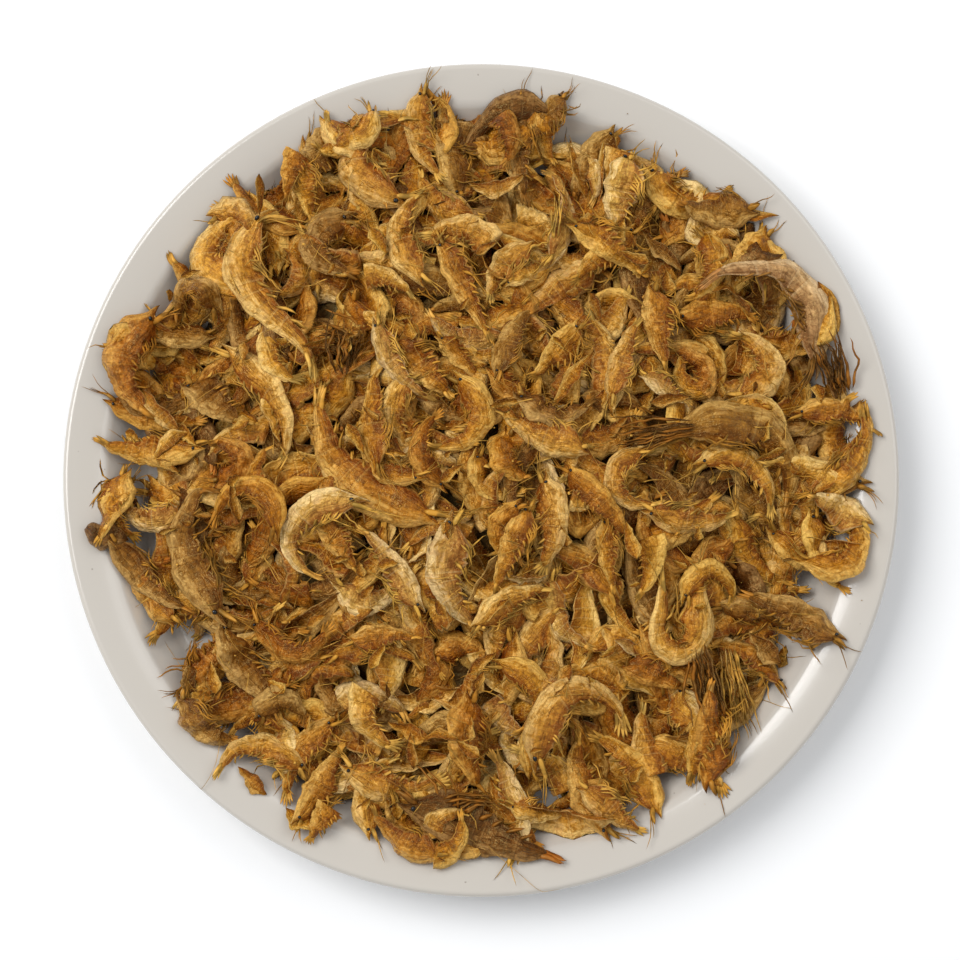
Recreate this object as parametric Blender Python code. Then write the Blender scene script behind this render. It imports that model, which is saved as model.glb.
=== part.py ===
"""Dried shrimp heaped on a round white plate.

Metres, +Z up. The origin is the middle of the plate's foot ring, on the surface it stands on.
+Y is the far side of the plate as the viewer stands over it, and +X is the viewer's right.
The heap is one solid: a low core with every shrimp that shows fused on at its real size.
"""

import math
from dataclasses import dataclass

import bmesh
import bpy
import numpy as np
from mathutils import Vector

MM = 0.001

# Plate
PLATE_RADIUS = 112.5 * MM
FLOOR_TOP = 6.5 * MM
CREASE_RADIUS = 92.5 * MM
WALL_TOP_RADIUS = 101.5 * MM
WALL_TOP = 16.5 * MM
LIP_TOP = 19.5 * MM
WALL_THICKNESS = 3.4 * MM
FOOT_OUTER_RADIUS = 68.0 * MM
FOOT_INNER_RADIUS = 63.0 * MM
FOOT_HEIGHT = 3.0 * MM
CREASE_ROUNDING = 5.0 * MM
RIM_ROUNDING = 6.0 * MM
EDGE_ROUNDING = 1.4 * MM
PLATE_SEGMENTS = 60
UNDER_WALL_SHIFT = 0.6
UNDER_RIM_SHIFT = 0.7
FOOT_SLOPE = 0.4
FOOT_RECESS = 0.9

# Heap
CORE_TOP = 29.0 * MM
CORE_FLATNESS = 2.4
CORE_EDGE_LIFT = 1.0 * MM
CORE_LUMP = 1.1 * MM
CORE_WAVES = (13 * MM, 11 * MM, 21 * MM)
CORE_DEPTH = 1.6 * MM
CORE_SEGMENTS = 30
CORE_RINGS = (0.16, 0.34, 0.52, 0.68, 0.81, 0.92)
CORE_UNDER_RINGS = (0.985, 0.9, 0.5)
CORE_SMOOTHING = 4
CORE_REACH = (97.0, 96.0, 94.0, 96.0, 97.0, 96.0, 96.0, 92.0, 95.0, 96.0, 95.0, 92.0)
PLATE_GAP = 0.35 * MM
HEAP_RADIUS = 111.0 * MM

# How a shrimp lies on what is below it, and how its bend is spread along it
THICKNESS = 0.62
NEST = 2.0 * MM
SETTLED_PERCENT = 85
DRAPE = 0.45
STEEPEST = 0.32
MOST_HANG = 6.0 * MM
HANG_SPREAD = 0.2
NOTHING = -1.0
SLOPE_STIFFNESS = 1e-5
DRAPE_REACH = 3
SIDE_PLACES = (-0.9, -0.45, 0.0, 0.45, 0.9)
BEND_SPREAD = 0.22
BEND_GATHER = 0.5
HEAD_TURN_SHARE = 0.55
TAIL_TURN_FROM = (0.4, 0.55)
SPINE_STEPS = 25
PLAN_STEPS = 120

# A shrimp's low outline: share of its length, share of its half width and half thickness there
HEAP_TRIANGLES = 10800
SLIM_WIDTH = 6.6
SIDES = 5
SLIM_SIDES = 4
RINGS = ((0.0, 0.20, 0.32), (0.14, 0.88, 0.88), (0.36, 1.0, 1.0), (0.62, 0.84, 0.86),
         (0.86, 0.44, 0.46), (1.0, 0.60, 0.22))

# Shrimps laid by rule: a bottom ring out over the rim, and small ones where the heap is bare
EDGE_SEED = 7
EDGE_COUNT = 30
EDGE_OVERHANG = 7.0 * MM
EDGE_JITTER = 0.3
EDGE_LENGTHS = (24, 32)
EDGE_WIDTHS = (6, 8.5)
EDGE_FACINGS = (70, 110)
EDGE_CURLS = (20, 90)
EDGE_MIDDLE = 0.45
FILL_SEED = 41
FILL_COUNT = 14
FILL_TRIES = 900
FILL_INSET = 14 * MM
FILL_MARGIN = 4 * MM
FILL_CURLS = (15, 150)
FILL_LENGTHS = (20, 30)
FILL_WIDTHS = (5.5, 8)
MOST_COVERED = 0.25
GRID_STEP = 1.0 * MM
GOLDEN_ANGLE = math.radians(137.508)


@dataclass(frozen=True)
class Shrimp:
    """One shrimp seen from above, in millimetres and degrees.

    x, y is the point where it bends most, facing is the way its back turns there, and curl is how
    far it turns from head to tail, positive anticlockwise. bend_at is the share of the length
    from the head to that point. head_turn and tail_turn are further turns near the two ends.
    """

    x: float
    y: float
    facing: float
    curl: float
    length: float
    width: float
    bend_at: float = 0.5
    head_turn: float = 0.0
    tail_turn: float = 0.0


# The shrimps that lie lower, then those on top of them
LOWER = [Shrimp(*row) for row in (
    (-45, 86, 150, 20, 22, 9), (-48, 77, 193, 15, 18, 6.5), (-60, 70, 236, -60, 28, 7),
    (-76, 60, 180, -170, 40, 10.5), (-78, 51, 95, 190, 26, 8.5), (-46, 61, 180, 190, 35, 10.5),
    (-36, 86, 180, -190, 50, 10.5), (-5, 94, 66, 30, 22, 6.7), (17, 97, 140, 15, 19, 6.7),
    (26, 84, 194, 12, 18, 4.6), (-6, 72, 270, 10, 14, 6), (13, 54, 297, 5, 17, 5),
    (-27, 53, 80, -80, 23, 6), (5, 56, 140, 80, 23, 6.5), (49, 61, 223, 5, 16, 3.5),
    (71, 70, 95, 10, 20, 3.8), (72, 59, 138, 12, 20, 8), (63, 44, 95, -40, 24, 7.5),
    (61, 26, 0, 190, 31, 8), (49, 22, 237, 8, 16, 5), (46, -22, 0, -65, 26, 7.5),
    (55, -14, 265, 55, 27, 7.3), (34, -4, 190, 200, 34, 6.7), (-6, 30, 222, 10, 17, 5.5),
    (-16, 27, 225, 12, 23, 8.5), (-24, 18, 165, 110, 27, 6.7, 0.4), (-14, 5, 90, -95, 21, 6.5),
    (-38, -19, 213, 10, 20, 6.7), (5, 2, 200, 120, 20, 9), (24, 5, 10, -90, 18, 5.4),
    (-16, -24, 297, 5, 13, 4), (37, 30, 162, -25, 25, 6), (24, 25, 144, 15, 19, 3.3),
    (-98, 30, 175, 120, 39, 10.8), (-63, 3, 0, 190, 26, 9.7), (-72, 19, 231, 10, 20, 9),
    (-87, 17, 222, 5, 17, 4), (-85, 8, 135, -55, 15, 3.5), (-100, -10, 185, 120, 23, 7),
    (-102, -17, 257, 5, 12, 7.5), (-90, -32, 217, -40, 24, 8), (-64, -53, 215, 65, 31, 9.5),
    (-78, -55, 180, 5, 10, 4), (-75, -68, 225, 70, 22, 9.2), (-53, -59, 90, -160, 22, 8.6),
    (-65, -73, 110, 130, 33, 7, 0.65), (-61, -82, 226, 5, 11, 3.8), (-48, -92, 237, 5, 10, 5),
    (-43, -83, 151, -10, 25, 7.5), (-42, -91, 151, 8, 16, 6), (-24, -85, 260, 80, 32, 8),
    (-20, -96, 215, 45, 22, 7), (-5, -72, 185, 60, 29, 9.5), (12, -72, 152, 5, 16, 4),
    (15, -91, 260, 50, 18, 5.4), (34, -90, 232, 25, 22, 6.7), (57, -77, 60, -55, 27, 7.5),
    (58, -70, 160, 30, 26, 9), (76, -47, 225, 5, 12, 5), (74, -58, 146, 5, 10, 3.8),
    (41, -47, 249, 5, 13, 4), (46, -54, 248, 5, 19, 6.7), (92, -15, 305, 5, 14, 5),
    (99, 18, 80, -75, 27, 6), (-26, -43, 95, -40, 20, 6), (90, -22, 200, 60, 26, 7.5),
)]
UPPER = [Shrimp(*row) for row in (
    (-36, 92, 280, -200, 30, 7), (-51, 83, 165, 25, 20, 6), (-18, 92, 190, 75, 30, 6.7),
    (8, 94, 20, -80, 23, 7.5), (32, 81, 174, 8, 21, 3.4), (36, 85, 166, 15, 20, 6.5),
    (37, 76, 170, 30, 24, 9), (22, 79, 30, 95, 32, 7.3, 0.8), (4, 77, 275, 75, 18, 4.3),
    (-1, 66, 60, 130, 34, 9), (-23, 63, 185, -100, 33, 7.5), (-5, 49, 206, 10, 33, 6),
    (54, 73, 250, 120, 32, 9.5), (64, 55, 350, -105, 26, 8),
    (33, 60, 131, 20, 25, 7), (34, 61, 235, 5, 26, 7), (47, 39, 186, 20, 24, 7.5),
    (79, 29, 0, 180, 35, 9.5), (86, 53, 50, 150, 60, 9.7), (-39, 1, 215, -90, 57, 10.8, 0.6),
    (20, 32, 137, 10, 21, 7), (1, 12, 345, -170, 37, 8), (80, 10, 45, -140, 57, 11.3, 0.6),
    (67, 6, 85, -140, 36, 7.5, 0.35), (103, 6, 340, 95, 36, 7.5, 0.65),
    (100, -24, 315, 180, 37, 9), (20, -14, 0, -60, 29, 8), (11, -29, 265, 50, 14, 3.5),
    (26, -9, 270, 55, 15, 5), (-10, -32, 200, 95, 37, 9.5, 0.6), (33, -22, 185, 25, 21, 5.5),
    (-51, 11, 0, -100, 43, 8, 0.75), (-58, 33, 170, 190, 32, 8),
    (-52, -18, 175, 180, 44, 8, 0.65), (52, -50, 270, -200, 56, 8.6, 0.6, 150), (61, -25, 90, -190, 29, 6.7),
    (-81, -14, 170, -110, 49, 9.4, 0.65, 0, -50), (-60, -3, 75, 190, 38, 7.5),
    (-48, -49, 275, 140, 32, 7.5, 0.6), (-33, -63, 180, 150, 34, 9), (-19, -69, 248, 8, 13, 4),
    (-11, -69, 95, -80, 11, 3), (-1, -96, 248, 20, 46, 10.8), (17, -59, 10, -160, 34, 7.5, 0.55),
    (27, -56, 90, -190, 52, 9.2, 0.62), (60, -59, 192, 5, 27, 8), (68, -59, 191, 5, 26, 6),
    (84, -37, 63, 35, 31, 8), (-66, 59, 170, 150, 60, 9.6, 0.3, 35, -70),
)]


def clear_scene():
    """Remove whatever objects the scene starts with."""
    for obj in list(bpy.data.objects):
        bpy.data.objects.remove(obj, do_unlink=True)


def material(name, colour, roughness):
    """A plain surface of one colour and roughness."""
    made = bpy.data.materials.new(name)
    made.use_nodes = True
    shader = made.node_tree.nodes["Principled BSDF"]
    shader.inputs["Base Color"].default_value = (*colour, 1.0)
    shader.inputs["Roughness"].default_value = roughness
    shader.inputs["Metallic"].default_value = 0.0
    return made


def rounded(corners, steps=3):
    """The outline through (radius, height, rounding) corners, each turned by an arc."""
    points = []
    for index, (x, z, rounding) in enumerate(corners):
        here = Vector((x, z))
        if rounding == 0.0:
            points.append(here)
            continue
        back = (Vector(corners[index - 1][:2]) - here).normalized()
        ahead = (Vector(corners[index + 1][:2]) - here).normalized()
        half = back.angle(ahead) / 2
        reach = rounding / math.tan(half)
        middle = here + (back + ahead).normalized() * rounding / math.sin(half)
        start = here + back * reach - middle
        turn = start.angle_signed(here + ahead * reach - middle)
        for step in range(steps + 1):
            angle = -turn * step / steps
            spoke = Vector((start.x * math.cos(angle) - start.y * math.sin(angle),
                            start.x * math.sin(angle) + start.y * math.cos(angle)))
            points.append(middle + spoke)
    return points


def plate_upper_outline():
    """The plate's eating side, from its middle to the lip."""
    return rounded((
        (0.0, FLOOR_TOP, 0.0),
        (CREASE_RADIUS, FLOOR_TOP, CREASE_ROUNDING),
        (WALL_TOP_RADIUS, WALL_TOP, RIM_ROUNDING),
        (PLATE_RADIUS - EDGE_ROUNDING, LIP_TOP, 0.0),
    ))


PLATE_PROFILE = plate_upper_outline()


def plate_outline():
    """The whole section of the plate, from the middle of its top round to the middle below."""
    under_wall = CREASE_RADIUS + WALL_THICKNESS * UNDER_WALL_SHIFT
    under_rim = WALL_TOP_RADIUS + WALL_THICKNESS * UNDER_RIM_SHIFT
    foot_run = FOOT_HEIGHT * FOOT_SLOPE
    lip = rounded((
        (WALL_TOP_RADIUS, WALL_TOP, 0.0),
        (PLATE_RADIUS, LIP_TOP, EDGE_ROUNDING),
        (PLATE_RADIUS, LIP_TOP - WALL_THICKNESS, EDGE_ROUNDING),
        (under_rim, WALL_TOP - WALL_THICKNESS, RIM_ROUNDING),
        (under_wall, FOOT_HEIGHT, CREASE_ROUNDING),
        (FOOT_OUTER_RADIUS + foot_run, FOOT_HEIGHT, 0.0),
    ), steps=2)[1:]
    foot = [Vector(point) for point in (
        (FOOT_OUTER_RADIUS, 0.0),
        (FOOT_INNER_RADIUS, 0.0),
        (FOOT_INNER_RADIUS - foot_run, FOOT_HEIGHT * FOOT_RECESS),
        (0.0, FOOT_HEIGHT * FOOT_RECESS),
    )]
    return PLATE_PROFILE[:-1] + lip + foot


def turned(name, outline, segments):
    """A closed solid turned about Z from an outline that starts and ends on the axis."""
    mesh = bmesh.new()
    verts = [mesh.verts.new((point.x, 0.0, point.y)) for point in outline]
    edges = [mesh.edges.new(pair) for pair in zip(verts, verts[1:])]
    bmesh.ops.spin(mesh, geom=verts + edges, cent=(0, 0, 0), axis=(0, 0, 1),
                   angle=math.tau, steps=segments, use_merge=True)
    bmesh.ops.remove_doubles(mesh, verts=mesh.verts, dist=0.01 * MM)
    bmesh.ops.recalc_face_normals(mesh, faces=mesh.faces)
    return finish_mesh(name, mesh)


def finish_mesh(name, mesh):
    """An object of this name from a bmesh, which is freed."""
    data = bpy.data.meshes.new(name)
    mesh.to_mesh(data)
    mesh.free()
    obj = bpy.data.objects.new(name, data)
    bpy.context.scene.collection.objects.link(obj)
    return obj


def shade(obj, finish, crease_angle):
    """Smooth shading up to a crease angle, in one material."""
    obj.data.materials.clear()
    obj.data.materials.append(finish)
    obj.data.shade_smooth()
    obj.data.set_sharp_from_angle(angle=math.radians(crease_angle))


def plate_top(radius):
    """Height of the plate's upper surface at a distance from its middle."""
    return np.interp(radius, [point.x for point in PLATE_PROFILE], [point.y for point in PLATE_PROFILE])


def core_reach(angle):
    """Distance from the middle to the core's edge, in a direction given in radians."""
    share = (angle / math.tau % 1.0) * len(CORE_REACH)
    first = np.floor(share).astype(int) % len(CORE_REACH)
    blend = share - np.floor(share)
    blend = blend * blend * (3 - 2 * blend)
    reach = np.array(CORE_REACH)
    return MM * (reach[first] * (1 - blend) + reach[(first + 1) % len(CORE_REACH)] * blend)


def core_top(x, y):
    """Height of the core under the shrimps that show: a low uneven mound."""
    radius = np.hypot(x, y)
    reach = core_reach(np.arctan2(y, x))
    edge = plate_top(reach) + CORE_EDGE_LIFT
    inside = np.clip(1 - (radius / reach) ** CORE_FLATNESS, 0.0, 1.0)
    wave_x, wave_y, wave_both = CORE_WAVES
    lump = np.sin(x / wave_x + 1.0) * np.cos(y / wave_y) + np.sin((x + y) / wave_both)
    return edge + (CORE_TOP - edge) * inside + CORE_LUMP * lump * inside


class Ground:
    """The height of all that has been laid so far, on a square grid over the plate."""

    def __init__(self):
        half = PLATE_RADIUS + 2 * GRID_STEP
        self.count = int(2 * half / GRID_STEP) + 1
        self.low = -half
        axis = self.low + GRID_STEP * np.arange(self.count)
        self.grid_x, self.grid_y = np.meshgrid(axis, axis)
        radius = np.hypot(self.grid_x, self.grid_y)
        reach = core_reach(np.arctan2(self.grid_y, self.grid_x))
        core = np.where(radius < reach, core_top(self.grid_x, self.grid_y), 0.0)
        self.height = np.maximum(core, plate_top(radius))
        self.covered = np.zeros_like(self.height)

    def cell(self, x, y):
        """Row and column of the grid cell under a point."""
        column = np.clip(np.rint((x - self.low) / GRID_STEP).astype(int), 0, self.count - 1)
        row = np.clip(np.rint((y - self.low) / GRID_STEP).astype(int), 0, self.count - 1)
        return row, column

    def raise_to(self, points, half_width, half_thick):
        """Add a shrimp's rounded top to the heights."""
        for (x, y, z), wide, thick in zip(points, half_width, half_thick):
            reach = int(wide / GRID_STEP) + 2
            row, column = self.cell(x, y)
            rows = slice(max(row - reach, 0), row + reach + 1)
            columns = slice(max(column - reach, 0), column + reach + 1)
            away = np.hypot(self.grid_x[rows, columns] - x, self.grid_y[rows, columns] - y) / wide
            top = z + thick * np.sqrt(np.clip(1 - away * away, 0.0, 1.0))
            patch = self.height[rows, columns]
            patch[:] = np.where(away < 1, np.maximum(patch, top), patch)
            self.covered[rows, columns][away < 1] = 1.0

    def smoothed(self):
        """The heights averaged over a few cells each way."""
        reach = 3 * CORE_SMOOTHING
        weights = np.exp(-0.5 * (np.arange(-reach, reach + 1) / CORE_SMOOTHING) ** 2)
        weights /= weights.sum()
        padded = np.pad(self.height, reach, mode="edge")
        across = np.apply_along_axis(np.convolve, 1, padded, weights, "valid")
        return np.apply_along_axis(np.convolve, 0, across, weights, "valid")


def smooth_step(value, low, high):
    """0 below low, 1 above high and a smooth rise between."""
    part = np.clip((value - low) / (high - low), 0.0, 1.0)
    return part * part * (3 - 2 * part)


def plan_spine(shrimp, share):
    """Points of the spine in plan at shares of its length, moved in where they pass the rim."""
    fine = np.linspace(0.0, 1.0, PLAN_STEPS + 1)
    gather = np.arctan((fine - shrimp.bend_at) / BEND_SPREAD)
    gather = (gather - gather[0]) / (gather[-1] - gather[0])
    turn = (1 - BEND_GATHER) * fine + BEND_GATHER * gather
    turn = turn - np.interp(shrimp.bend_at, fine, turn)
    heading = shrimp.facing + math.copysign(90, shrimp.curl) + shrimp.curl * turn
    heading -= shrimp.head_turn * (1 - smooth_step(fine, 0.0, shrimp.bend_at * HEAD_TURN_SHARE))
    tail_from = shrimp.bend_at * TAIL_TURN_FROM[0] + TAIL_TURN_FROM[1]
    heading += shrimp.tail_turn * smooth_step(fine, tail_from, 1.0)
    heading = np.radians(heading)
    step = shrimp.length * MM / PLAN_STEPS
    x = np.cumsum(np.cos(heading)) * step
    y = np.cumsum(np.sin(heading)) * step
    x += shrimp.x * MM - np.interp(shrimp.bend_at, fine, x)
    y += shrimp.y * MM - np.interp(shrimp.bend_at, fine, y)
    over = np.hypot(x, y).max() + shrimp.width * MM / 2 - HEAP_RADIUS
    if over > 0:
        outermost = np.hypot(x, y).argmax()
        inward = math.atan2(y[outermost], x[outermost])
        x -= over * math.cos(inward)
        y -= over * math.sin(inward)
    return np.interp(share, fine, x), np.interp(share, fine, y)


def girth(shrimp, share):
    """Half width and half thickness at shares of the length."""
    at, wide, thick = (np.array(column) for column in zip(*RINGS))
    half = shrimp.width * MM / 2
    return half * np.interp(share, at, wide), half * THICKNESS * np.interp(share, at, thick)


def across_body(x, y, wide, thick):
    """Places across the body along its length, each with how far its underside hangs there."""
    run_x, run_y = np.gradient(x), np.gradient(y)
    run = np.hypot(run_x, run_y)
    for across in SIDE_PLACES:
        drop = thick * math.sqrt(1 - across * across)
        yield x - across * wide * run_y / run, y + across * wide * run_x / run, drop


def settle(shrimp, ground, share):
    """The spine at rest on what lies below: partly a straight tilt, partly draped over it."""
    x, y = plan_spine(shrimp, share)
    wide, thick = girth(shrimp, share)
    below = np.full_like(x, NOTHING)
    heap = np.full_like(x, NOTHING)
    for at_x, at_y, drop in across_body(x, y, wide, thick):
        height = ground.height[ground.cell(at_x, at_y)]
        on_heap = height > plate_top(np.hypot(at_x, at_y)) + CORE_EDGE_LIFT
        below = np.maximum(below, height + drop)
        heap = np.maximum(heap, np.where(on_heap, height + drop, NOTHING))
    z = lean(x, y, below)
    z += max(0.0, np.percentile(below - z, SETTLED_PERCENT) - NEST)
    z += plate_lift(x, y, z, wide, thick, share)
    nearest = (z - heap).argmin()
    hang = z[nearest] - heap[nearest] + NEST
    if 0 < hang < MOST_HANG:
        z -= hang * np.exp(-((share - share[nearest]) / HANG_SPREAD) ** 2)
        z += plate_lift(x, y, z, wide, thick, share)
    return np.column_stack((x, y, z))


def lean(x, y, below):
    """A plane of limited slope through the supports, with part of what is left over added back."""
    base = np.column_stack((np.ones_like(x), x - x.mean(), y - y.mean()))
    square = base.T @ base + np.diag((0.0, SLOPE_STIFFNESS, SLOPE_STIFFNESS))
    weights = np.linalg.lstsq(square, base.T @ below, rcond=None)[0]
    slope = math.hypot(weights[1], weights[2])
    if slope > STEEPEST:
        weights[1:] *= STEEPEST / slope
    plane = base @ weights
    left = np.pad(below - plane, DRAPE_REACH, mode="edge")
    count = 2 * DRAPE_REACH + 1
    return plane + DRAPE * np.convolve(left, np.ones(count) / count, mode="valid")


def plate_lift(x, y, z, wide, thick, share):
    """How far a body has to rise so that no straight stretch of it cuts into the plate."""
    at_ring = np.array([ring[0] for ring in RINGS])
    chord_x, chord_y, chord_z = (np.interp(share, at_ring, np.interp(at_ring, share, line))
                                 for line in (x, y, z))
    lift = 0.0
    for at_x, at_y, drop in across_body(chord_x, chord_y, wide, thick):
        lift = max(lift, (plate_top(np.hypot(at_x, at_y)) + drop + PLATE_GAP - chord_z).max())
    return lift


def edge_shrimps(ground, share):
    """The lowest ring: shrimps that lie outwards from the core over the plate's wall."""
    rng = np.random.default_rng(EDGE_SEED)
    for index in range(EDGE_COUNT):
        angle = math.tau * (index + rng.uniform(-EDGE_JITTER, EDGE_JITTER)) / EDGE_COUNT
        length = rng.uniform(*EDGE_LENGTHS)
        across = rng.choice((-1, 1)) * rng.uniform(*EDGE_FACINGS)
        curl = rng.choice((-1, 1)) * rng.uniform(*EDGE_CURLS)
        width = rng.uniform(*EDGE_WIDTHS)
        radius = (float(core_reach(np.array(angle))) + EDGE_OVERHANG) / MM - EDGE_MIDDLE * length
        shrimp = Shrimp(radius * math.cos(angle), radius * math.sin(angle),
                        math.degrees(angle) + across, curl, length, width)
        spine = settle(shrimp, ground, share)
        ground.raise_to(spine, *girth(shrimp, share))
        yield shrimp, spine


def fill_shrimps(ground, share):
    """Smaller shrimps by a seeded rule, spread on a spiral over the places still bare."""
    rng = np.random.default_rng(FILL_SEED)
    found = 0
    for index in range(FILL_TRIES):
        if found == FILL_COUNT:
            break
        radius = (HEAP_RADIUS - FILL_INSET) * math.sqrt((index + 0.5) / FILL_TRIES)
        angle = index * GOLDEN_ANGLE
        shrimp = Shrimp(
            x=radius * math.cos(angle) / MM, y=radius * math.sin(angle) / MM,
            facing=rng.uniform(0, 360), curl=rng.choice((-1, 1)) * rng.uniform(*FILL_CURLS),
            length=rng.uniform(*FILL_LENGTHS), width=rng.uniform(*FILL_WIDTHS))
        x, y = plan_spine(shrimp, share)
        if ground.covered[ground.cell(x, y)].mean() > MOST_COVERED:
            continue
        if (np.hypot(x, y) > core_reach(np.arctan2(y, x)) + FILL_MARGIN).any():
            continue
        spine = settle(shrimp, ground, share)
        ground.raise_to(spine, *girth(shrimp, share))
        found += 1
        yield shrimp, spine


def shrimp_solid(name, spine, wide, thick, sides):
    """A tapered closed tube of few sides round a spine."""
    mesh = bmesh.new()
    tangent = np.gradient(spine, axis=0)
    previous = None
    for point, along, half_width, half_thick in zip(spine, tangent, wide, thick):
        forward = Vector(along).normalized()
        across = Vector((0, 0, 1)).cross(forward).normalized()
        upward = forward.cross(across)
        ring = []
        for side in range(sides):
            angle = math.tau * (side - 0.25) / sides
            ring.append(mesh.verts.new(Vector(point) + across * half_width * math.cos(angle)
                                       + upward * half_thick * math.sin(angle)))
        if previous is None:
            mesh.faces.new(reversed(ring))
        else:
            for side in range(sides):
                after = (side + 1) % sides
                mesh.faces.new((previous[side], previous[after], ring[after], ring[side]))
        previous = ring
    mesh.faces.new(previous)
    bmesh.ops.triangulate(mesh, faces=mesh.faces)
    bmesh.ops.recalc_face_normals(mesh, faces=mesh.faces)
    return finish_mesh(name, mesh)


def core_rings(ground):
    """Rings of the core from the middle of its top, over its edge, to the middle of its underside."""
    level = ground.smoothed() - CORE_DEPTH
    shares = [(share, "top") for share in CORE_RINGS]
    shares += [(1.0, "edge")] + [(share, "under") for share in CORE_UNDER_RINGS]
    for share, part in shares:
        ring = []
        for spoke in range(CORE_SEGMENTS):
            angle = math.tau * spoke / CORE_SEGMENTS
            radius = share * float(core_reach(np.array(angle)))
            x, y = radius * math.cos(angle), radius * math.sin(angle)
            height = float(plate_top(radius)) + (PLATE_GAP if part == "under" else CORE_EDGE_LIFT)
            if part == "top":
                height = max(height, float(level[ground.cell(x, y)]))
            ring.append((x, y, height))
        yield ring


def core_solid(ground):
    """The mound just under the shrimps that show, closed below a little above the plate."""
    mesh = bmesh.new()
    verts = [[mesh.verts.new(point) for point in ring] for ring in core_rings(ground)]
    for inner, outer in zip(verts, verts[1:]):
        for spoke in range(CORE_SEGMENTS):
            after = (spoke + 1) % CORE_SEGMENTS
            mesh.faces.new((inner[spoke], outer[spoke], outer[after], inner[after]))
    for ring in (verts[0], verts[-1]):
        height = sum(vert.co.z for vert in ring) / len(ring)
        middle = mesh.verts.new((0, 0, height))
        for spoke in range(CORE_SEGMENTS):
            mesh.faces.new((middle, ring[spoke], ring[(spoke + 1) % CORE_SEGMENTS]))
    bmesh.ops.recalc_face_normals(mesh, faces=mesh.faces)
    bmesh.ops.triangulate(mesh, faces=mesh.faces)
    return finish_mesh("shrimp_heap", mesh)


def fuse(body, pieces):
    """Join the pieces of a collection to a body, and keep the one outer shell."""
    union = body.modifiers.new("union", "BOOLEAN")
    union.operation = "UNION"
    union.operand_type = "COLLECTION"
    union.collection = pieces
    union.solver = "EXACT"
    graph = bpy.context.evaluated_depsgraph_get()
    fused = bpy.data.meshes.new_from_object(body.evaluated_get(graph), depsgraph=graph)
    body.modifiers.remove(union)
    body.data = fused
    for piece in list(pieces.objects):
        bpy.data.objects.remove(piece, do_unlink=True)
    bpy.data.collections.remove(pieces)
    mesh = bmesh.new()
    mesh.from_mesh(fused)
    drop_all_but_largest(mesh)
    bmesh.ops.triangulate(mesh, faces=mesh.faces)
    mesh.to_mesh(fused)
    thin = body.modifiers.new("thin", "DECIMATE")
    thin.ratio = min(1.0, HEAP_TRIANGLES / len(mesh.faces))
    mesh.free()


def drop_all_but_largest(mesh):
    """Delete inner shells and loose scraps."""
    left = set(mesh.verts)
    shells = []
    while left:
        stack = [left.pop()]
        shell = set(stack)
        while stack:
            for edge in stack.pop().link_edges:
                for vert in edge.verts:
                    if vert in left:
                        left.discard(vert)
                        shell.add(vert)
                        stack.append(vert)
        shells.append(shell)
    largest = max(shells, key=len)
    spare = [vert for shell in shells if shell is not largest for vert in shell]
    bmesh.ops.delete(mesh, geom=spare, context="VERTS")


def build_plate():
    """The round plate with its well, rim and foot ring."""
    plate = turned("plate", plate_outline(), PLATE_SEGMENTS)
    shade(plate, material("white_glaze", (0.63, 0.58, 0.52), 0.16), 35)


def build_heap():
    """The heap of shrimps as one solid on the plate."""
    ground = Ground()
    share = np.linspace(0, 1, SPINE_STEPS)
    ring_share = np.array([ring[0] for ring in RINGS])
    pieces = bpy.data.collections.new("shrimps")
    bpy.context.scene.collection.children.link(pieces)
    laid = list(edge_shrimps(ground, share))
    for shrimp in LOWER + UPPER:
        spine = settle(shrimp, ground, share)
        ground.raise_to(spine, *girth(shrimp, share))
        laid.append((shrimp, spine))
    laid += fill_shrimps(ground, share)
    for index, (shrimp, spine) in enumerate(laid):
        rings = np.column_stack([np.interp(ring_share, share, column) for column in spine.T])
        sides = SLIM_SIDES if shrimp.width < SLIM_WIDTH else SIDES
        piece = shrimp_solid(f"piece_{index}", rings, *girth(shrimp, ring_share), sides)
        bpy.context.scene.collection.objects.unlink(piece)
        pieces.objects.link(piece)
    heap = core_solid(ground)
    fuse(heap, pieces)
    shade(heap, material("dried_shell", (0.26, 0.115, 0.022), 0.55), 40)


def main():
    """Build the plate and the heap on it."""
    clear_scene()
    build_plate()
    build_heap()


if __name__ == "__main__":
    main()
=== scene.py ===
"""Dried shrimp heaped on a round white plate: the finished look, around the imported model.

Metres, +Z up, +Y to the plate's far side. The shrimps that show lie where the solid heap has them,
laid by the same rule. Deeper ones, feelers, legs, flakes and crumbs fill the gaps between them.
"""

import logging
import math
from collections import defaultdict
from collections.abc import Callable, Iterator
from dataclasses import dataclass, field
from enum import Enum

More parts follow.
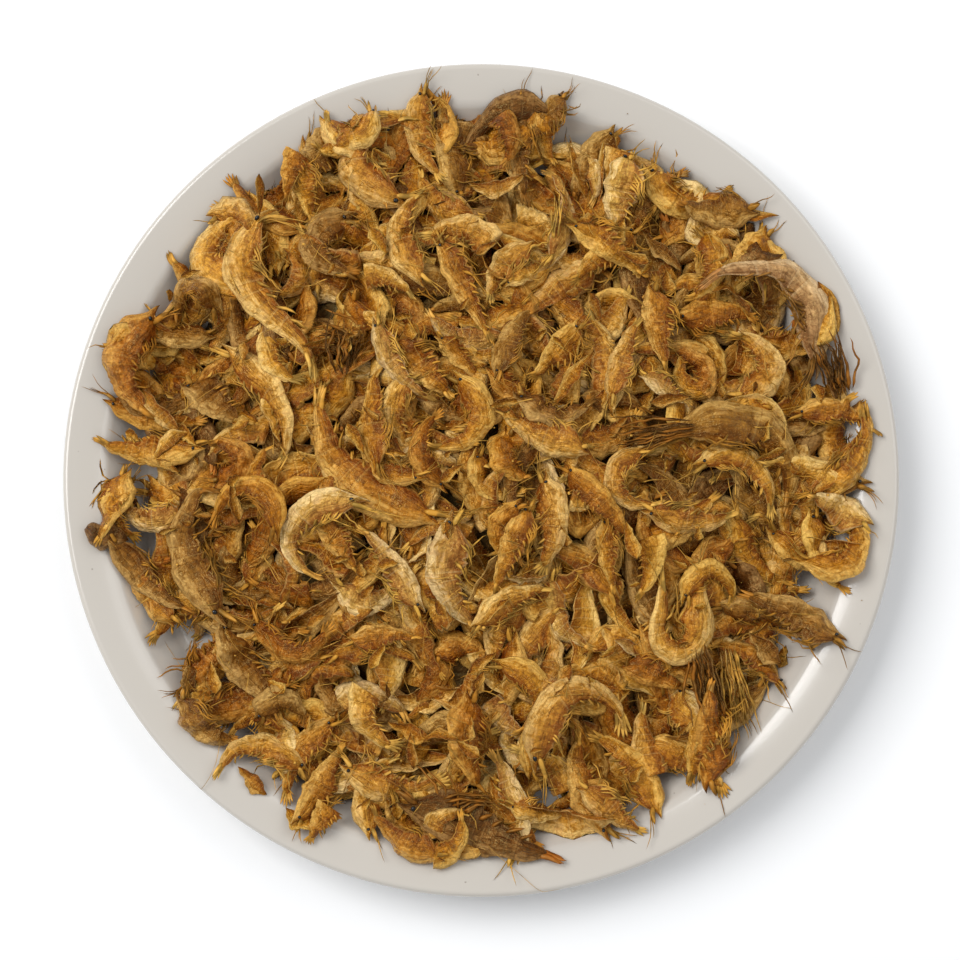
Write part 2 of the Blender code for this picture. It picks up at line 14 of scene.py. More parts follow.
import bmesh
import bpy
import numpy as np
from mathutils import Euler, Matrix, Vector


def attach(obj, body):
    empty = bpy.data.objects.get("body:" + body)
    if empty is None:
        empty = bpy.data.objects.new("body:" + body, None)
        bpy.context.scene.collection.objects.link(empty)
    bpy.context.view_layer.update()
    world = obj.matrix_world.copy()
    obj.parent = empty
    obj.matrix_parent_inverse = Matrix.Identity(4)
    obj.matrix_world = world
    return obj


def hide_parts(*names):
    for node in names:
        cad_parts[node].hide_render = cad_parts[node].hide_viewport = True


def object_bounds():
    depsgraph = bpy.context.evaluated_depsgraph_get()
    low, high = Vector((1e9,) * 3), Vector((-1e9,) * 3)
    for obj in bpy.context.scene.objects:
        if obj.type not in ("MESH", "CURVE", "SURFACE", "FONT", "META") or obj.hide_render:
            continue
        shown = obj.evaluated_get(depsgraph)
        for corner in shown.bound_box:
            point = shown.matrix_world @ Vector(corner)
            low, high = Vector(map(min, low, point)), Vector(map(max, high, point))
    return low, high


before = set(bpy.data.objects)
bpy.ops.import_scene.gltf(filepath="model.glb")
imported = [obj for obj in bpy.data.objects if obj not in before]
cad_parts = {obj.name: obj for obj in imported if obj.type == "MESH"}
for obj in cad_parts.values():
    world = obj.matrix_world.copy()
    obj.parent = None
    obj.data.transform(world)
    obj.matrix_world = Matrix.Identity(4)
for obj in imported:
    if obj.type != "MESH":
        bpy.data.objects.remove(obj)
CAD_LOW, CAD_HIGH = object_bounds()

log = logging.getLogger("dried_shrimp")
Array = np.ndarray
Triple = tuple[float, float, float]
Span = tuple[float, float]
MM = 0.001
MERGE = 1e-5
POINTED = 1e-6
NOT_ZERO = 1e-9
GOLDEN_ANGLE = math.radians(137.508)


class Tone(Enum):
    """The colours that dried shrimps come in, by the letter used in the tables."""

    GOLDEN = "g"
    STRAW = "s"
    AMBER = "a"
    BROWN = "b"
    DARK = "d"
    BONE = "w"
    ROSE = "r"


class Form(Enum):
    """What is left of a shrimp."""

    WHOLE = "whole"
    HEADLESS = "headless"
    LEAF = "leaf"
    LUMP = "lump"
    STRAWS = "straws"
    SIMPLE = "simple"


@dataclass(frozen=True)
class Shrimp:
    """One shrimp seen from above, in millimetres and degrees.

    x, y is the point where it bends most, facing is the way its back turns there, and curl is how
    far it turns from head to tail, positive anticlockwise. bend_at is the share of the length
    from the head to that point. head_turn and tail_turn are further turns near the two ends.
    """

    x: float
    y: float
    facing: float
    curl: float
    length: float
    width: float
    tone: Tone = Tone.GOLDEN
    bend_at: float = 0.5
    head_turn: float = 0.0
    tail_turn: float = 0.0
    form: Form | None = None


def table(rows: tuple[tuple, ...]) -> list[Shrimp]:
    """The shrimps of a table of rows: x, y, facing, curl, length, width, tone letter and the rest.

    Args:
        rows: One tuple a shrimp; bend_at and what follows it may be left out.

    Returns:
        The shrimps in the order they are laid.
    """
    return [Shrimp(*row[:6], Tone(row[6]), *row[7:]) for row in rows]


LOWER = table((
    (-45, 86, 150, 20, 22, 9, "b"), (-48, 77, 193, 15, 18, 6.5, "g"),
    (-60, 70, 236, -60, 28, 7, "a"), (-76, 60, 180, -170, 40, 10.5, "s"),
    (-78, 51, 95, 190, 26, 8.5, "b"), (-46, 61, 180, 190, 35, 10.5, "b"),
    (-36, 86, 180, -190, 50, 10.5, "s"), (-5, 94, 66, 30, 22, 6.7, "b"),
    (17, 97, 140, 15, 19, 6.7, "b"), (26, 84, 194, 12, 18, 4.6, "g"),
    (-6, 72, 270, 10, 14, 6, "d"), (13, 54, 297, 5, 17, 5, "s"), (-27, 53, 80, -80, 23, 6, "s"),
    (5, 56, 140, 80, 23, 6.5, "s"), (49, 61, 223, 5, 16, 3.5, "b"), (71, 70, 95, 10, 20, 3.8, "g"),
    (72, 59, 138, 12, 20, 8, "g"), (63, 44, 95, -40, 24, 7.5, "a"), (61, 26, 0, 190, 31, 8, "a"),
    (49, 22, 237, 8, 16, 5, "w"), (46, -22, 0, -65, 26, 7.5, "g"), (55, -14, 265, 55, 27, 7.3, "s"),
    (34, -4, 190, 200, 34, 6.7, "s"), (-6, 30, 222, 10, 17, 5.5, "g"),
    (-16, 27, 225, 12, 23, 8.5, "g"), (-24, 18, 165, 110, 27, 6.7, "s", 0.4),
    (-14, 5, 90, -95, 21, 6.5, "w"), (-38, -19, 213, 10, 20, 6.7, "g"),
    (5, 2, 200, 120, 20, 9, "a"), (24, 5, 10, -90, 18, 5.4, "s"), (-16, -24, 297, 5, 13, 4, "s"),
    (37, 30, 162, -25, 25, 6, "s"), (24, 25, 144, 15, 19, 3.3, "g"),
    (-98, 30, 175, 120, 39, 10.8, "a"), (-63, 3, 0, 190, 26, 9.7, "a"),
    (-72, 19, 231, 10, 20, 9, "b"), (-87, 17, 222, 5, 17, 4, "s"), (-85, 8, 135, -55, 15, 3.5, "s"),
    (-100, -10, 185, 120, 23, 7, "g"), (-102, -17, 257, 5, 12, 7.5, "d", 0.5, 0, 0, Form.LUMP),
    (-90, -32, 217, -40, 24, 8, "g"), (-64, -53, 215, 65, 31, 9.5, "b"),
    (-78, -55, 180, 5, 10, 4, "b"), (-75, -68, 225, 70, 22, 9.2, "b"),
    (-53, -59, 90, -160, 22, 8.6, "b"), (-65, -73, 110, 130, 33, 7, "s", 0.65),
    (-61, -82, 226, 5, 11, 3.8, "g"), (-48, -92, 237, 5, 10, 5, "g"),
    (-43, -83, 151, -10, 25, 7.5, "g"), (-42, -91, 151, 8, 16, 6, "g"),
    (-24, -85, 260, 80, 32, 8, "s"), (-20, -96, 215, 45, 22, 7, "g"),
    (-5, -72, 185, 60, 29, 9.5, "a"), (12, -72, 152, 5, 16, 4, "s"),
    (15, -91, 260, 50, 18, 5.4, "s"), (34, -90, 232, 25, 22, 6.7, "s"),
    (57, -77, 60, -55, 27, 7.5, "g"), (58, -70, 160, 30, 26, 9, "g"), (76, -47, 225, 5, 12, 5, "b"),
    (74, -58, 146, 5, 10, 3.8, "s"), (41, -47, 249, 5, 13, 4, "w"), (46, -54, 248, 5, 19, 6.7, "a"),
    (92, -15, 305, 5, 14, 5, "g"), (99, 18, 80, -75, 27, 6, "g"), (-26, -43, 95, -40, 20, 6, "g"),
    (90, -22, 200, 60, 26, 7.5, "g"),
))
UPPER = table((
    (-36, 92, 280, -200, 30, 7, "s"), (-51, 83, 165, 25, 20, 6, "a"),
    (-18, 92, 190, 75, 30, 6.7, "s"), (8, 94, 20, -80, 23, 7.5, "a"), (32, 81, 174, 8, 21, 3.4, "s"),
    (36, 85, 166, 15, 20, 6.5, "s"), (37, 76, 170, 30, 24, 9, "w"),
    (22, 79, 30, 95, 32, 7.3, "w", 0.8), (4, 77, 275, 75, 18, 4.3, "s"),
    (-1, 66, 60, 130, 34, 9, "s"), (-23, 63, 185, -100, 33, 7.5, "s"),
    (-5, 49, 206, 10, 33, 6, "g"),
    (54, 73, 250, 120, 32, 9.5, "g"), (64, 55, 350, -105, 26, 8, "g"), (33, 60, 131, 20, 25, 7, "g"),
    (34, 61, 235, 5, 26, 7, "g"), (47, 39, 186, 20, 24, 7.5, "g"), (79, 29, 0, 180, 35, 9.5, "s"),
    (86, 53, 50, 150, 60, 9.7, "r"), (-39, 1, 215, -90, 57, 10.8, "g", 0.6),
    (20, 32, 137, 10, 21, 7, "g"), (1, 12, 345, -170, 37, 8, "g"),
    (80, 10, 45, -140, 57, 11.3, "b", 0.6), (67, 6, 85, -140, 36, 7.5, "s", 0.35),
    (103, 6, 340, 95, 36, 7.5, "g", 0.65), (100, -24, 315, 180, 37, 9, "g"),
    (20, -14, 0, -60, 29, 8, "s"), (11, -29, 265, 50, 14, 3.5, "w"), (26, -9, 270, 55, 15, 5, "s"),
    (-10, -32, 200, 95, 37, 9.5, "w", 0.6), (33, -22, 185, 25, 21, 5.5, "g"),
    (-51, 11, 0, -100, 43, 8, "s", 0.75), (-58, 33, 170, 190, 32, 8, "s"),
    (-52, -18, 175, 180, 44, 8, "w", 0.65), (52, -49, 270, -320, 54, 8.6, "s", 0.5, 75, 75),
    (61, -25, 90, -190, 29, 6.7, "g"), (-81, -14, 170, -110, 49, 9.4, "b", 0.65, 0, -50),
    (-60, -3, 75, 190, 38, 7.5, "a"), (-48, -49, 275, 140, 32, 7.5, "a", 0.6),
    (-33, -63, 180, 150, 34, 9, "s"), (-19, -69, 248, 8, 13, 4, "a"), (-11, -69, 95, -80, 11, 3, "g"),
    (-1, -96, 248, 20, 46, 10.8, "d"), (17, -59, 10, -160, 34, 7.5, "g", 0.55),
    (27, -56, 90, -190, 52, 9.2, "s", 0.62), (60, -59, 192, 5, 27, 8, "d", 0.5, 0, 0, Form.STRAWS),
    (68, -59, 191, 5, 26, 6, "s", 0.5, 0, 0, Form.STRAWS), (84, -37, 63, 35, 31, 8, "b"),
    (-66, 59, 170, 150, 60, 9.6, "s", 0.3, 35, -70),
    (95, 29, 20, 12, 20, 8, "d", 0.5, 0, 0, Form.STRAWS),
    (45, 10, 100, 10, 24, 6, "d", 0.5, 0, 0, Form.STRAWS),
    (-38, 35, 60, 60, 15, 9, "d", 0.5, 0, 0, Form.STRAWS),
    (-36, 32, 165, -50, 14, 8, "d", 0.5, 0, 0, Form.STRAWS),
))


@dataclass(frozen=True)
class Plate:
    """The round plate: its section, and the mesh turned from it."""

    radius: float = 112.5 * MM
    floor_top: float = 6.5 * MM
    crease_radius: float = 92.5 * MM
    wall_top_radius: float = 101.5 * MM
    wall_top: float = 16.5 * MM
    lip_top: float = 19.5 * MM
    wall_thickness: float = 3.4 * MM
    foot_outer_radius: float = 68.0 * MM
    foot_inner_radius: float = 63.0 * MM
    foot_height: float = 3.0 * MM
    crease_rounding: float = 5.0 * MM
    rim_rounding: float = 6.0 * MM
    edge_rounding: float = 1.4 * MM
    under_rim_shift: float = 0.7
    under_wall_shift: float = 0.6
    foot_slope: float = 0.4
    foot_recess: float = 0.9
    segments: int = 160
    corner_steps: int = 8
    coarse_corner_steps: int = 3
    sharp_angle: float = 40.0

    def upper_outline(self, steps: int) -> list[Vector]:
        """The eating side's section from the middle to the lip.

        Args:
            steps: Straight pieces in each rounded corner.

        Returns:
            Points of radius and height.
        """
        return rounded((
            (0.0, self.floor_top, 0.0),
            (self.crease_radius, self.floor_top, self.crease_rounding),
            (self.wall_top_radius, self.wall_top, self.rim_rounding),
            (self.radius - self.edge_rounding, self.lip_top, 0.0),
        ), steps)

    def outline(self, steps: int) -> list[Vector]:
        """The whole section, from the middle of the top round to the middle below.

        Args:
            steps: Straight pieces in each rounded corner.

        Returns:
            Points of radius and height.
        """
        drop = self.wall_thickness
        slope = self.foot_height * self.foot_slope
        lip = rounded((
            (self.wall_top_radius, self.wall_top, 0.0),
            (self.radius, self.lip_top, self.edge_rounding),
            (self.radius, self.lip_top - drop, self.edge_rounding),
            (self.wall_top_radius + drop * self.under_rim_shift, self.wall_top - drop, self.rim_rounding),
            (self.crease_radius + drop * self.under_wall_shift, self.foot_height, self.crease_rounding),
            (self.foot_outer_radius + slope, self.foot_height, 0.0),
        ), steps)[1:]
        foot = [Vector(point) for point in (
            (self.foot_outer_radius, 0.0),
            (self.foot_inner_radius, 0.0),
            (self.foot_inner_radius - slope, self.foot_height * self.foot_recess),
            (0.0, self.foot_height * self.foot_recess),
        )]
        return self.upper_outline(steps)[:-1] + lip + foot

    def top(self, radius: Array | float) -> Array:
        """Height of the eating side at distances from the middle.

        Args:
            radius: The distances.

        Returns:
            Heights in metres.
        """
        points = self.upper_outline(self.coarse_corner_steps)
        return np.interp(radius, [p.x for p in points], [p.y for p in points])

    def build(self) -> bpy.types.Object:
        """Turn the plate's section into its mesh.

        Returns:
            The plate, with nothing on it.
        """
        mesh = bmesh.new()
        verts = [mesh.verts.new((point.x, 0.0, point.y)) for point in self.outline(self.corner_steps)]
        edges = [mesh.edges.new(pair) for pair in zip(verts, verts[1:])]
        bmesh.ops.spin(mesh, geom=verts + edges, cent=(0, 0, 0), axis=(0, 0, 1),
                       angle=math.tau, steps=self.segments, use_merge=True)
        bmesh.ops.remove_doubles(mesh, verts=mesh.verts, dist=MERGE)
        bmesh.ops.recalc_face_normals(mesh, faces=mesh.faces)
        plate = finish_mesh("white_plate", mesh)
        plate.data.set_sharp_from_angle(angle=math.radians(self.sharp_angle))
        return plate

    def dress(self, paint: "Paint") -> None:
        """Build the plate and give it its glaze.

        Args:
            paint: Makes the glaze.
        """
        add_piece(self.build(), "plate", [paint.glaze()])


def rounded(corners: tuple[Triple, ...], steps: int) -> list[Vector]:
    """An outline through corners, each turned by an arc.

    Args:
        corners: Radius, height and rounding of each corner.
        steps: Straight pieces in each arc.

    Returns:
        The outline's points.
    """
    points: list[Vector] = []
    for index, (x, z, rounding) in enumerate(corners):
        here = Vector((x, z))
        if rounding == 0.0:
            points.append(here)
            continue
        back = (Vector(corners[index - 1][:2]) - here).normalized()
        ahead = (Vector(corners[index + 1][:2]) - here).normalized()
        half = back.angle(ahead) / 2
        reach = rounding / math.tan(half)
        middle = here + (back + ahead).normalized() * rounding / math.sin(half)
        start = here + back * reach - middle
        turn = start.angle_signed(here + ahead * reach - middle)
        for step in range(steps + 1):
            angle = -turn * step / steps
            spoke = Vector((start.x * math.cos(angle) - start.y * math.sin(angle),
                            start.x * math.sin(angle) + start.y * math.cos(angle)))
            points.append(middle + spoke)
    return points


def finish_mesh(name: str, mesh: bmesh.types.BMesh) -> bpy.types.Object:
    """An object of a bmesh, shaded smooth; the bmesh is freed.

    Args:
        name: The object's name.
        mesh: Its geometry, in place.

    Returns:
        The object, linked to the scene.
    """
    data = bpy.data.meshes.new(name)
    mesh.to_mesh(data)
    mesh.free()
    data.shade_smooth()
    obj = bpy.data.objects.new(name, data)
    bpy.context.scene.collection.objects.link(obj)
    return obj


def mapped_grid(mesh: bmesh.types.BMesh, steps: int, turns: int,
                place: Callable[[Array, Array], Array], slot: int = 0) -> None:
    """Add a closed tube: a grid whose s runs end to end and whose t runs round it.

    Args:
        mesh: The bmesh to add to, with a UV layer.
        steps: Faces along s.
        turns: Faces round t.
        place: Gives the points, one row each, for arrays of s and t from 0 to 1.
        slot: Material slot of the new faces.
    """
    verts = bmesh.ops.create_grid(mesh, x_segments=steps, y_segments=turns, size=0.5)["verts"]
    flat = np.array([vert.co[:2] for vert in verts]) + 0.5
    along, round_it = flat[:, 0], flat[:, 1]
    uv = mesh.loops.layers.uv.verify()
    at = {vert: tuple(pair) for vert, pair in zip(verts, flat)}
    for face in {face for vert in verts for face in vert.link_faces}:
        face.material_index = slot
        for loop in face.loops:
            loop[uv].uv = at[loop.vert]
    for vert, point in zip(verts, place(along, round_it)):
        vert.co = point
    bmesh.ops.remove_doubles(mesh, verts=verts, dist=MERGE)


@dataclass(frozen=True)
class Strand:
    """A thin limb in a shrimp's own space: points it passes, and its half widths at the ends."""

    points: tuple[Triple, ...]
    thick: float
    tip: float
    flat: float = 1.0
    belly: float = 0.0
    slot: int = 1
    steps: int = 6
    turns: int = 4

    def add_to(self, mesh: bmesh.types.BMesh) -> None:
        """Add the limb's tube to a bmesh, closed at both ends.

        Args:
            mesh: The bmesh to add to, with a UV layer.
        """
        knots = np.linspace(0, 1, len(self.points))
        shares = np.linspace(0, 1, self.steps + 1)
        line = np.column_stack([np.interp(shares, knots, axis) for axis in zip(*self.points)])
        run = np.gradient(line, axis=0)
        run /= np.linalg.norm(run, axis=1)[:, None]
        side = np.cross(run, (0.0, 0.0, 1.0))
        side /= np.linalg.norm(side, axis=1)[:, None] + NOT_ZERO
        over = np.cross(side, run)
        half = self.thick + (self.tip - self.thick) * shares
        half = half * (1 + self.belly * np.sin(math.pi * shares))
        half[0] = half[-1] = POINTED

        def place(s: Array, t: Array) -> Array:
            """Points of the tube's skin."""
            ring = np.rint(s * self.steps).astype(int)
            wide = (half[ring] * np.cos(math.tau * t))[:, None]
            thin = (half[ring] * self.flat * np.sin(math.tau * t))[:, None]
            return line[ring] + side[ring] * wide + over[ring] * thin

        mapped_grid(mesh, self.steps, self.turns, place, self.slot)


@dataclass(frozen=True)
class Crumple:
    """Sharp random folds over a flattened body, given by its length and its height."""

    seed: int
    count: int = 9
    longest: float = 2.6
    shortest: float = 0.55
    lengthwise_share: float = 0.65
    lengthwise_spread: float = 0.3
    free_spread: float = 1.2
    wander: float = 0.35
    wander_pace: float = 1.7
    long_weight: float = 0.7
    strength: float = 1.8

    def at(self, x: Array, y: Array) -> Array:
        """Height of the folds at points of the body's flat side.

        Args:
            x: Places along the body.
            y: Places across it.

        Returns:
            Heights of about -1 to 1.
        """
        rng = np.random.default_rng(self.seed)
        total = np.zeros_like(x)
        weight = 0.0
        for step in np.linspace(0, 1, self.count):
            wave = self.longest * (self.shortest / self.longest) ** step
            lengthwise = rng.random() < self.lengthwise_share
            angle = math.pi / 2 + rng.normal(0, self.lengthwise_spread if lengthwise else self.free_spread)
            drift = rng.uniform(0, math.tau)
            across = (x * math.cos(angle) + y * math.sin(angle)) / wave
            along = (y * math.cos(angle) - x * math.sin(angle)) / wave
            across = across + self.wander * np.sin(self.wander_pace * along + drift)
            part = wave ** self.long_weight
            total += part * (1 - 2 * np.abs(np.sin(math.pi * across + drift)))
            weight += part
        return total * self.strength / weight


@dataclass(frozen=True)
class Anatomy:
    """A dried shrimp lying straight: +x from head to tail, +y its back, z to its sides.

    The unit is half its width. The profile rows are share of length, half width, half thickness
    and how far the middle line rises towards the back.
    """

    length: float = 8.0
    head_end: float = 0.34
    tail_start: float = 0.88
    segments: tuple[float, ...] = (0.0, 0.165, 0.33, 0.49, 0.64, 0.79, 1.0)
    profile: tuple[tuple[float, float, float, float], ...] = (
        (0.00, 0.03, 0.02, 0.50), (0.035, 0.09, 0.05, 0.48), (0.07, 0.20, 0.11, 0.38),
        (0.10, 0.42, 0.24, 0.18), (0.15, 0.66, 0.36, 0.08), (0.22, 0.88, 0.44, 0.03),
        (0.31, 1.00, 0.46, 0.0), (0.42, 0.97, 0.42, 0.0), (0.54, 0.86, 0.37, 0.0),
        (0.65, 0.70, 0.31, 0.0), (0.76, 0.53, 0.25, 0.02), (0.85, 0.38, 0.19, 0.05),
        (0.90, 0.24, 0.13, 0.05), (0.93, 0.02, 0.02, 0.05))
    step_rise: float = 0.05
    joint_notch: float = 0.12
    crumple: float = 0.13
    waver: float = 0.045
    paunch: float = 0.42
    ragged: float = 0.10
    turns: int = 20
    head_steps: int = 14
    rings_a_segment: tuple[float, ...] = (0.0, 0.14, 0.36, 0.58, 0.80, 0.96)
    legs: int = 14
    swimmerets: int = 5
    blades: int = 5
    fan: float = 0.4
    eyes: bool = True
    feelers: int = 4
    limb_turns: int = 4
    blade_turns: int = 6
    cut_head: bool = False
    cut_overlap: float = 0.02
    cut_rings: int = 3
    tail_rings: tuple[float, ...] = (0.905, 0.93)
    paunch_rises: Span = (0.06, 0.24)
    paunch_falls: Span = (0.45, 0.72)
    fray_waves: Span = (71.0, 123.0)
    waver_cycles: Span = (1.5, 9.0)
    waver_count: int = 5
    waver_scale: float = 2.2
    lens_power: float = 1.25
    leg_places: Span = (1.1, 3.0)
    leg_sweeps: Span = (1.2, 3.0)
    leg_sags: Span = (0.25, 0.75)
    swimmeret_from: float = 3.0
    swimmeret_pace: float = 0.72
    swimmeret_shrink: float = 0.10
    blade_share: float = 0.87
    blade_reach: float = 1.45
    head_blade_side: float = 0.18
    eye_radius: float = 0.12
    eye_place: Triple = (0.84, 0.27, 0.25)
    seed: int = 1

    def stations(self) -> Array:
        """The body's rings.

        Returns:
            Shares of the length, from the head on.
        """
        start = self.head_end - self.cut_overlap if self.cut_head else 0.0
        steps = self.cut_rings if self.cut_head else self.head_steps
        head = np.linspace(start, self.head_end, steps, endpoint=False)
        span = self.tail_start - self.head_end
        body = [self.head_end + span * (first + (last - first) * part)
                for first, last in zip(self.segments, self.segments[1:])
                for part in self.rings_a_segment]
        return np.concatenate((head, body, (self.tail_start, *self.tail_rings)))

    def segment_part(self, share: Array) -> Array:
        """How far through its segment each place is.

        Args:
            share: Shares of the length.

        Returns:
            Shares of the segment's length, and -1 off the abdomen.
        """
        local = (share - self.head_end) / (self.tail_start - self.head_end)
        edges = np.array(self.segments)
        index = np.clip(np.searchsorted(edges, local, side="right") - 1, 0, len(edges) - 2)
        part = (local - edges[index]) / (edges[index + 1] - edges[index])
        return np.where((local >= 0) & (local < 1), part, -1.0)

    def body_points(self, share: Array, turn: Array) -> Array:
        """Skin of the flattened body: slight steps at the joints, a notched belly edge, folds.

        Args:
            share: Shares of the length.
            turn: Shares of the way round, 0 at the back.

        Returns:
            One point a row.
        """
        rng = np.random.default_rng(self.seed)
        at, wide, thick, rise = (np.array(column) for column in zip(*self.profile))
        part = self.segment_part(share)
        on_abdomen = part >= 0
        flare = np.where(on_abdomen, 1 + self.step_rise * (np.clip(part, 0, 1) ** 1.5 - 0.4), 1.0)
        up = np.cos(math.tau * turn)
        out = np.sin(math.tau * turn)
        notch = self.joint_notch * (1 - np.sin(math.pi * np.clip(part, 0, 1)) ** 0.5)
        low = np.where(on_abdomen & (up < 0), 1 - notch * (-up) ** 2, 1.0)
        full = smooth_step(share, *self.paunch_rises) * (1 - smooth_step(share, *self.paunch_falls))
        fray = self.ragged * sum(np.sin(wave * share + (index + 1) * self.seed)
                                 for index, wave in enumerate(self.fray_waves))
        low = np.where(up < 0, low + (-up) ** 1.5 * full * (self.paunch + fray), low)
        half = np.interp(share, at, wide) * flare
        side = np.interp(share, at, thick) * flare
        edge = np.zeros_like(share)
        for _ in range(self.waver_count):
            cycles = rng.uniform(*self.waver_cycles)
            rounds = rng.integers(0, 3)
            phase = rng.uniform(0, math.tau)
            edge += np.sin(math.tau * (cycles * share + rounds * turn) + phase) / self.waver_scale
        y = np.interp(share, at, rise) + half * up * low * (1 + self.waver * edge)
        lens = np.abs(out) ** self.lens_power * np.where(up < 0, 1 + 0.3 * up, 1.0)
        x = share * self.length
        folds = np.where(out > 0, Crumple(self.seed * 2).at(x, y), Crumple(self.seed * 2 + 1).at(x, y))
        z = np.sign(out) * side * lens * (1 + 0.2 * folds) + self.crumple * folds * half * np.abs(out)
        return np.column_stack((x, y, z))

    def limbs(self) -> Iterator[Strand]:
        """Legs, tail blades, head blades and feelers, each a little uneven.

        Returns:
            The limbs, those of a cut head left out.
        """
        rng = np.random.default_rng(self.seed + 100)
        if not self.cut_head:
            yield from self.walking_legs(rng)
        yield from self.swimming_legs(rng)
        yield from self.tail_blades(rng)
        if not self.cut_head:
            yield from self.head_blades()
            yield from self.feeler_strands(rng)

    def walking_legs(self, rng: np.random.Generator) -> Iterator[Strand]:
        """Thin legs under the head, most of them swept back.

        Args:
            rng: Gives their unevenness.

        Returns:
            The legs.
        """
        first, last = self.leg_places
        for index in range(self.legs):
            x = first + (last - first) * index / self.legs + rng.uniform(-0.1, 0.1)
            z = rng.uniform(-0.32, 0.32)
            sweep = rng.uniform(*self.leg_sweeps) * (1 if rng.random() < 0.75 else -0.8)
            sag = rng.uniform(*self.leg_sags)
            yield Strand(((x, -0.55, z * 0.7), (x + sweep * 0.25, -1.0 - sag * 0.4, z),
                          (x + sweep * 0.65, -1.1 - sag * 0.8, z * 1.2),
                          (x + sweep, -1.0 - sag * rng.uniform(0.6, 1.5), z * 1.5)),
                         thick=0.085, tip=0.03, turns=self.limb_turns)

    def swimming_legs(self, rng: np.random.Generator) -> Iterator[Strand]:
        """Short flat legs in pairs under the abdomen, smaller towards the tail.

        Args:
            rng: Gives their unevenness.

        Returns:
            The legs.
        """
        for index in range(self.swimmerets * 2):
            x = self.swimmeret_from + self.swimmeret_pace * (index // 2)
            size = 1.0 - self.swimmeret_shrink * (index // 2)
            z = (0.16 if index % 2 else -0.16) * size
            sweep = rng.uniform(0.4, 0.9)
            yield Strand(((x, -0.60 * size, z), (x + sweep * 0.5, -1.0 * size, z * 1.3),
                          (x + sweep, -1.2 * size - rng.uniform(0, 0.2), z * 1.5)),
                         thick=0.13 * size, tip=0.03, flat=0.35, belly=0.5, steps=4, turns=self.limb_turns)

    def tail_blades(self, rng: np.random.Generator) -> Iterator[Strand]:
        """The flat blades of the tail fan.

        Args:
            rng: Gives their unevenness.

        Returns:
            The blades.
        """
        start = self.length * self.blade_share
        for index in range(self.blades):
            offset = index - (self.blades - 1) / 2
            spread = offset * 0.22 * self.fan + rng.uniform(-0.04, 0.04)
            reach = self.blade_reach - 0.16 * abs(offset) + rng.uniform(-0.12, 0.08)
            yield Strand(((start, 0.05 + offset * 0.05, 0.04 * offset),
                          (start + reach * 0.5, 0.05 + spread, 0.06 * offset),
                          (start + reach, 0.05 + spread * 1.9, 0.04 * offset)),
                         thick=0.10, tip=0.03, flat=0.3, belly=0.8, slot=3, turns=self.blade_turns)

    def head_blades(self) -> Iterator[Strand]:
        """The two flat scales that point forward beside the feelers.

        Returns:
            The scales.
        """
        for z in (-self.head_blade_side, self.head_blade_side):
            yield Strand(((0.95, 0.0, z), (0.3, 0.02, z * 1.2), (-0.35, 0.06, z * 0.8)),
                         thick=0.13, tip=0.04, flat=0.35, belly=0.6, steps=5, turns=self.blade_turns)

    def feeler_strands(self, rng: np.random.Generator) -> Iterator[Strand]:
        """Broken feelers that curve forward from the head.

        Args:
            rng: Gives their unevenness.

        Returns:
            The feelers.
        """
        for _ in range(self.feelers):
            z = rng.uniform(-0.3, 0.3)
            bend = rng.uniform(-1.0, 0.8)
            reach = rng.uniform(0.8, 2.2)
            yield Strand(((0.9, -0.1, z), (0.2, -0.05 + bend * 0.1, z),
                          (-0.5 * reach, bend * 0.5, z * 1.5), (-reach, bend, z * 2)),
                         thick=0.06, tip=0.02, steps=7, turns=3)

    def build(self, name: str) -> bpy.types.Mesh:
        """Model the shrimp as one mesh in its own straight space.

        Args:
            name: Name of the mesh.

        Returns:
            The mesh, with the material slots shell, limb, eye and tail numbered 0 to 3.
        """
        mesh = new_shell_mesh()
        stations = self.stations()

        def place(s: Array, t: Array) -> Array:
            """Points of the body's skin, drawn to a point at both ends."""
            ring = np.rint(s * (len(stations) - 1)).astype(int)
            points = self.body_points(stations[ring], t)
            for end in (0, len(stations) - 1):
                rows = ring == end
                points[rows] = points[rows].mean(axis=0)
            return points

        mapped_grid(mesh, len(stations) - 1, self.turns, place)
        for strand in self.limbs():
            strand.add_to(mesh)
        if self.eyes and not self.cut_head:
            for side in (-1, 1):
                ball = bmesh.ops.create_icosphere(mesh, subdivisions=2, radius=self.eye_radius)["verts"]
                x, y, z = self.eye_place
                bmesh.ops.translate(mesh, verts=ball, vec=(x, y, z * side))
                for face in {face for vert in ball for face in vert.link_faces}:
                    face.material_index = 2
        return mould_mesh(name, mesh)


def new_shell_mesh() -> bmesh.types.BMesh:
    """An empty bmesh with the layers that shells need.

    Returns:
        The bmesh.
    """
    mesh = bmesh.new()
    mesh.loops.layers.uv.new("shell")
    mesh.verts.layers.float.new("tint")
    return mesh


def mould_mesh(name: str, mesh: bmesh.types.BMesh) -> bpy.types.Mesh:
    """Mesh data of a bmesh, its faces outward and shaded smooth; the bmesh is freed.

    Args:
        name: The mesh's name.
        mesh: Its geometry.

    Returns:
        The mesh data.
    """
    bmesh.ops.recalc_face_normals(mesh, faces=mesh.faces)
    data = bpy.data.meshes.new(name)
    mesh.to_mesh(data)
    mesh.free()
    data.shade_smooth()
    return data


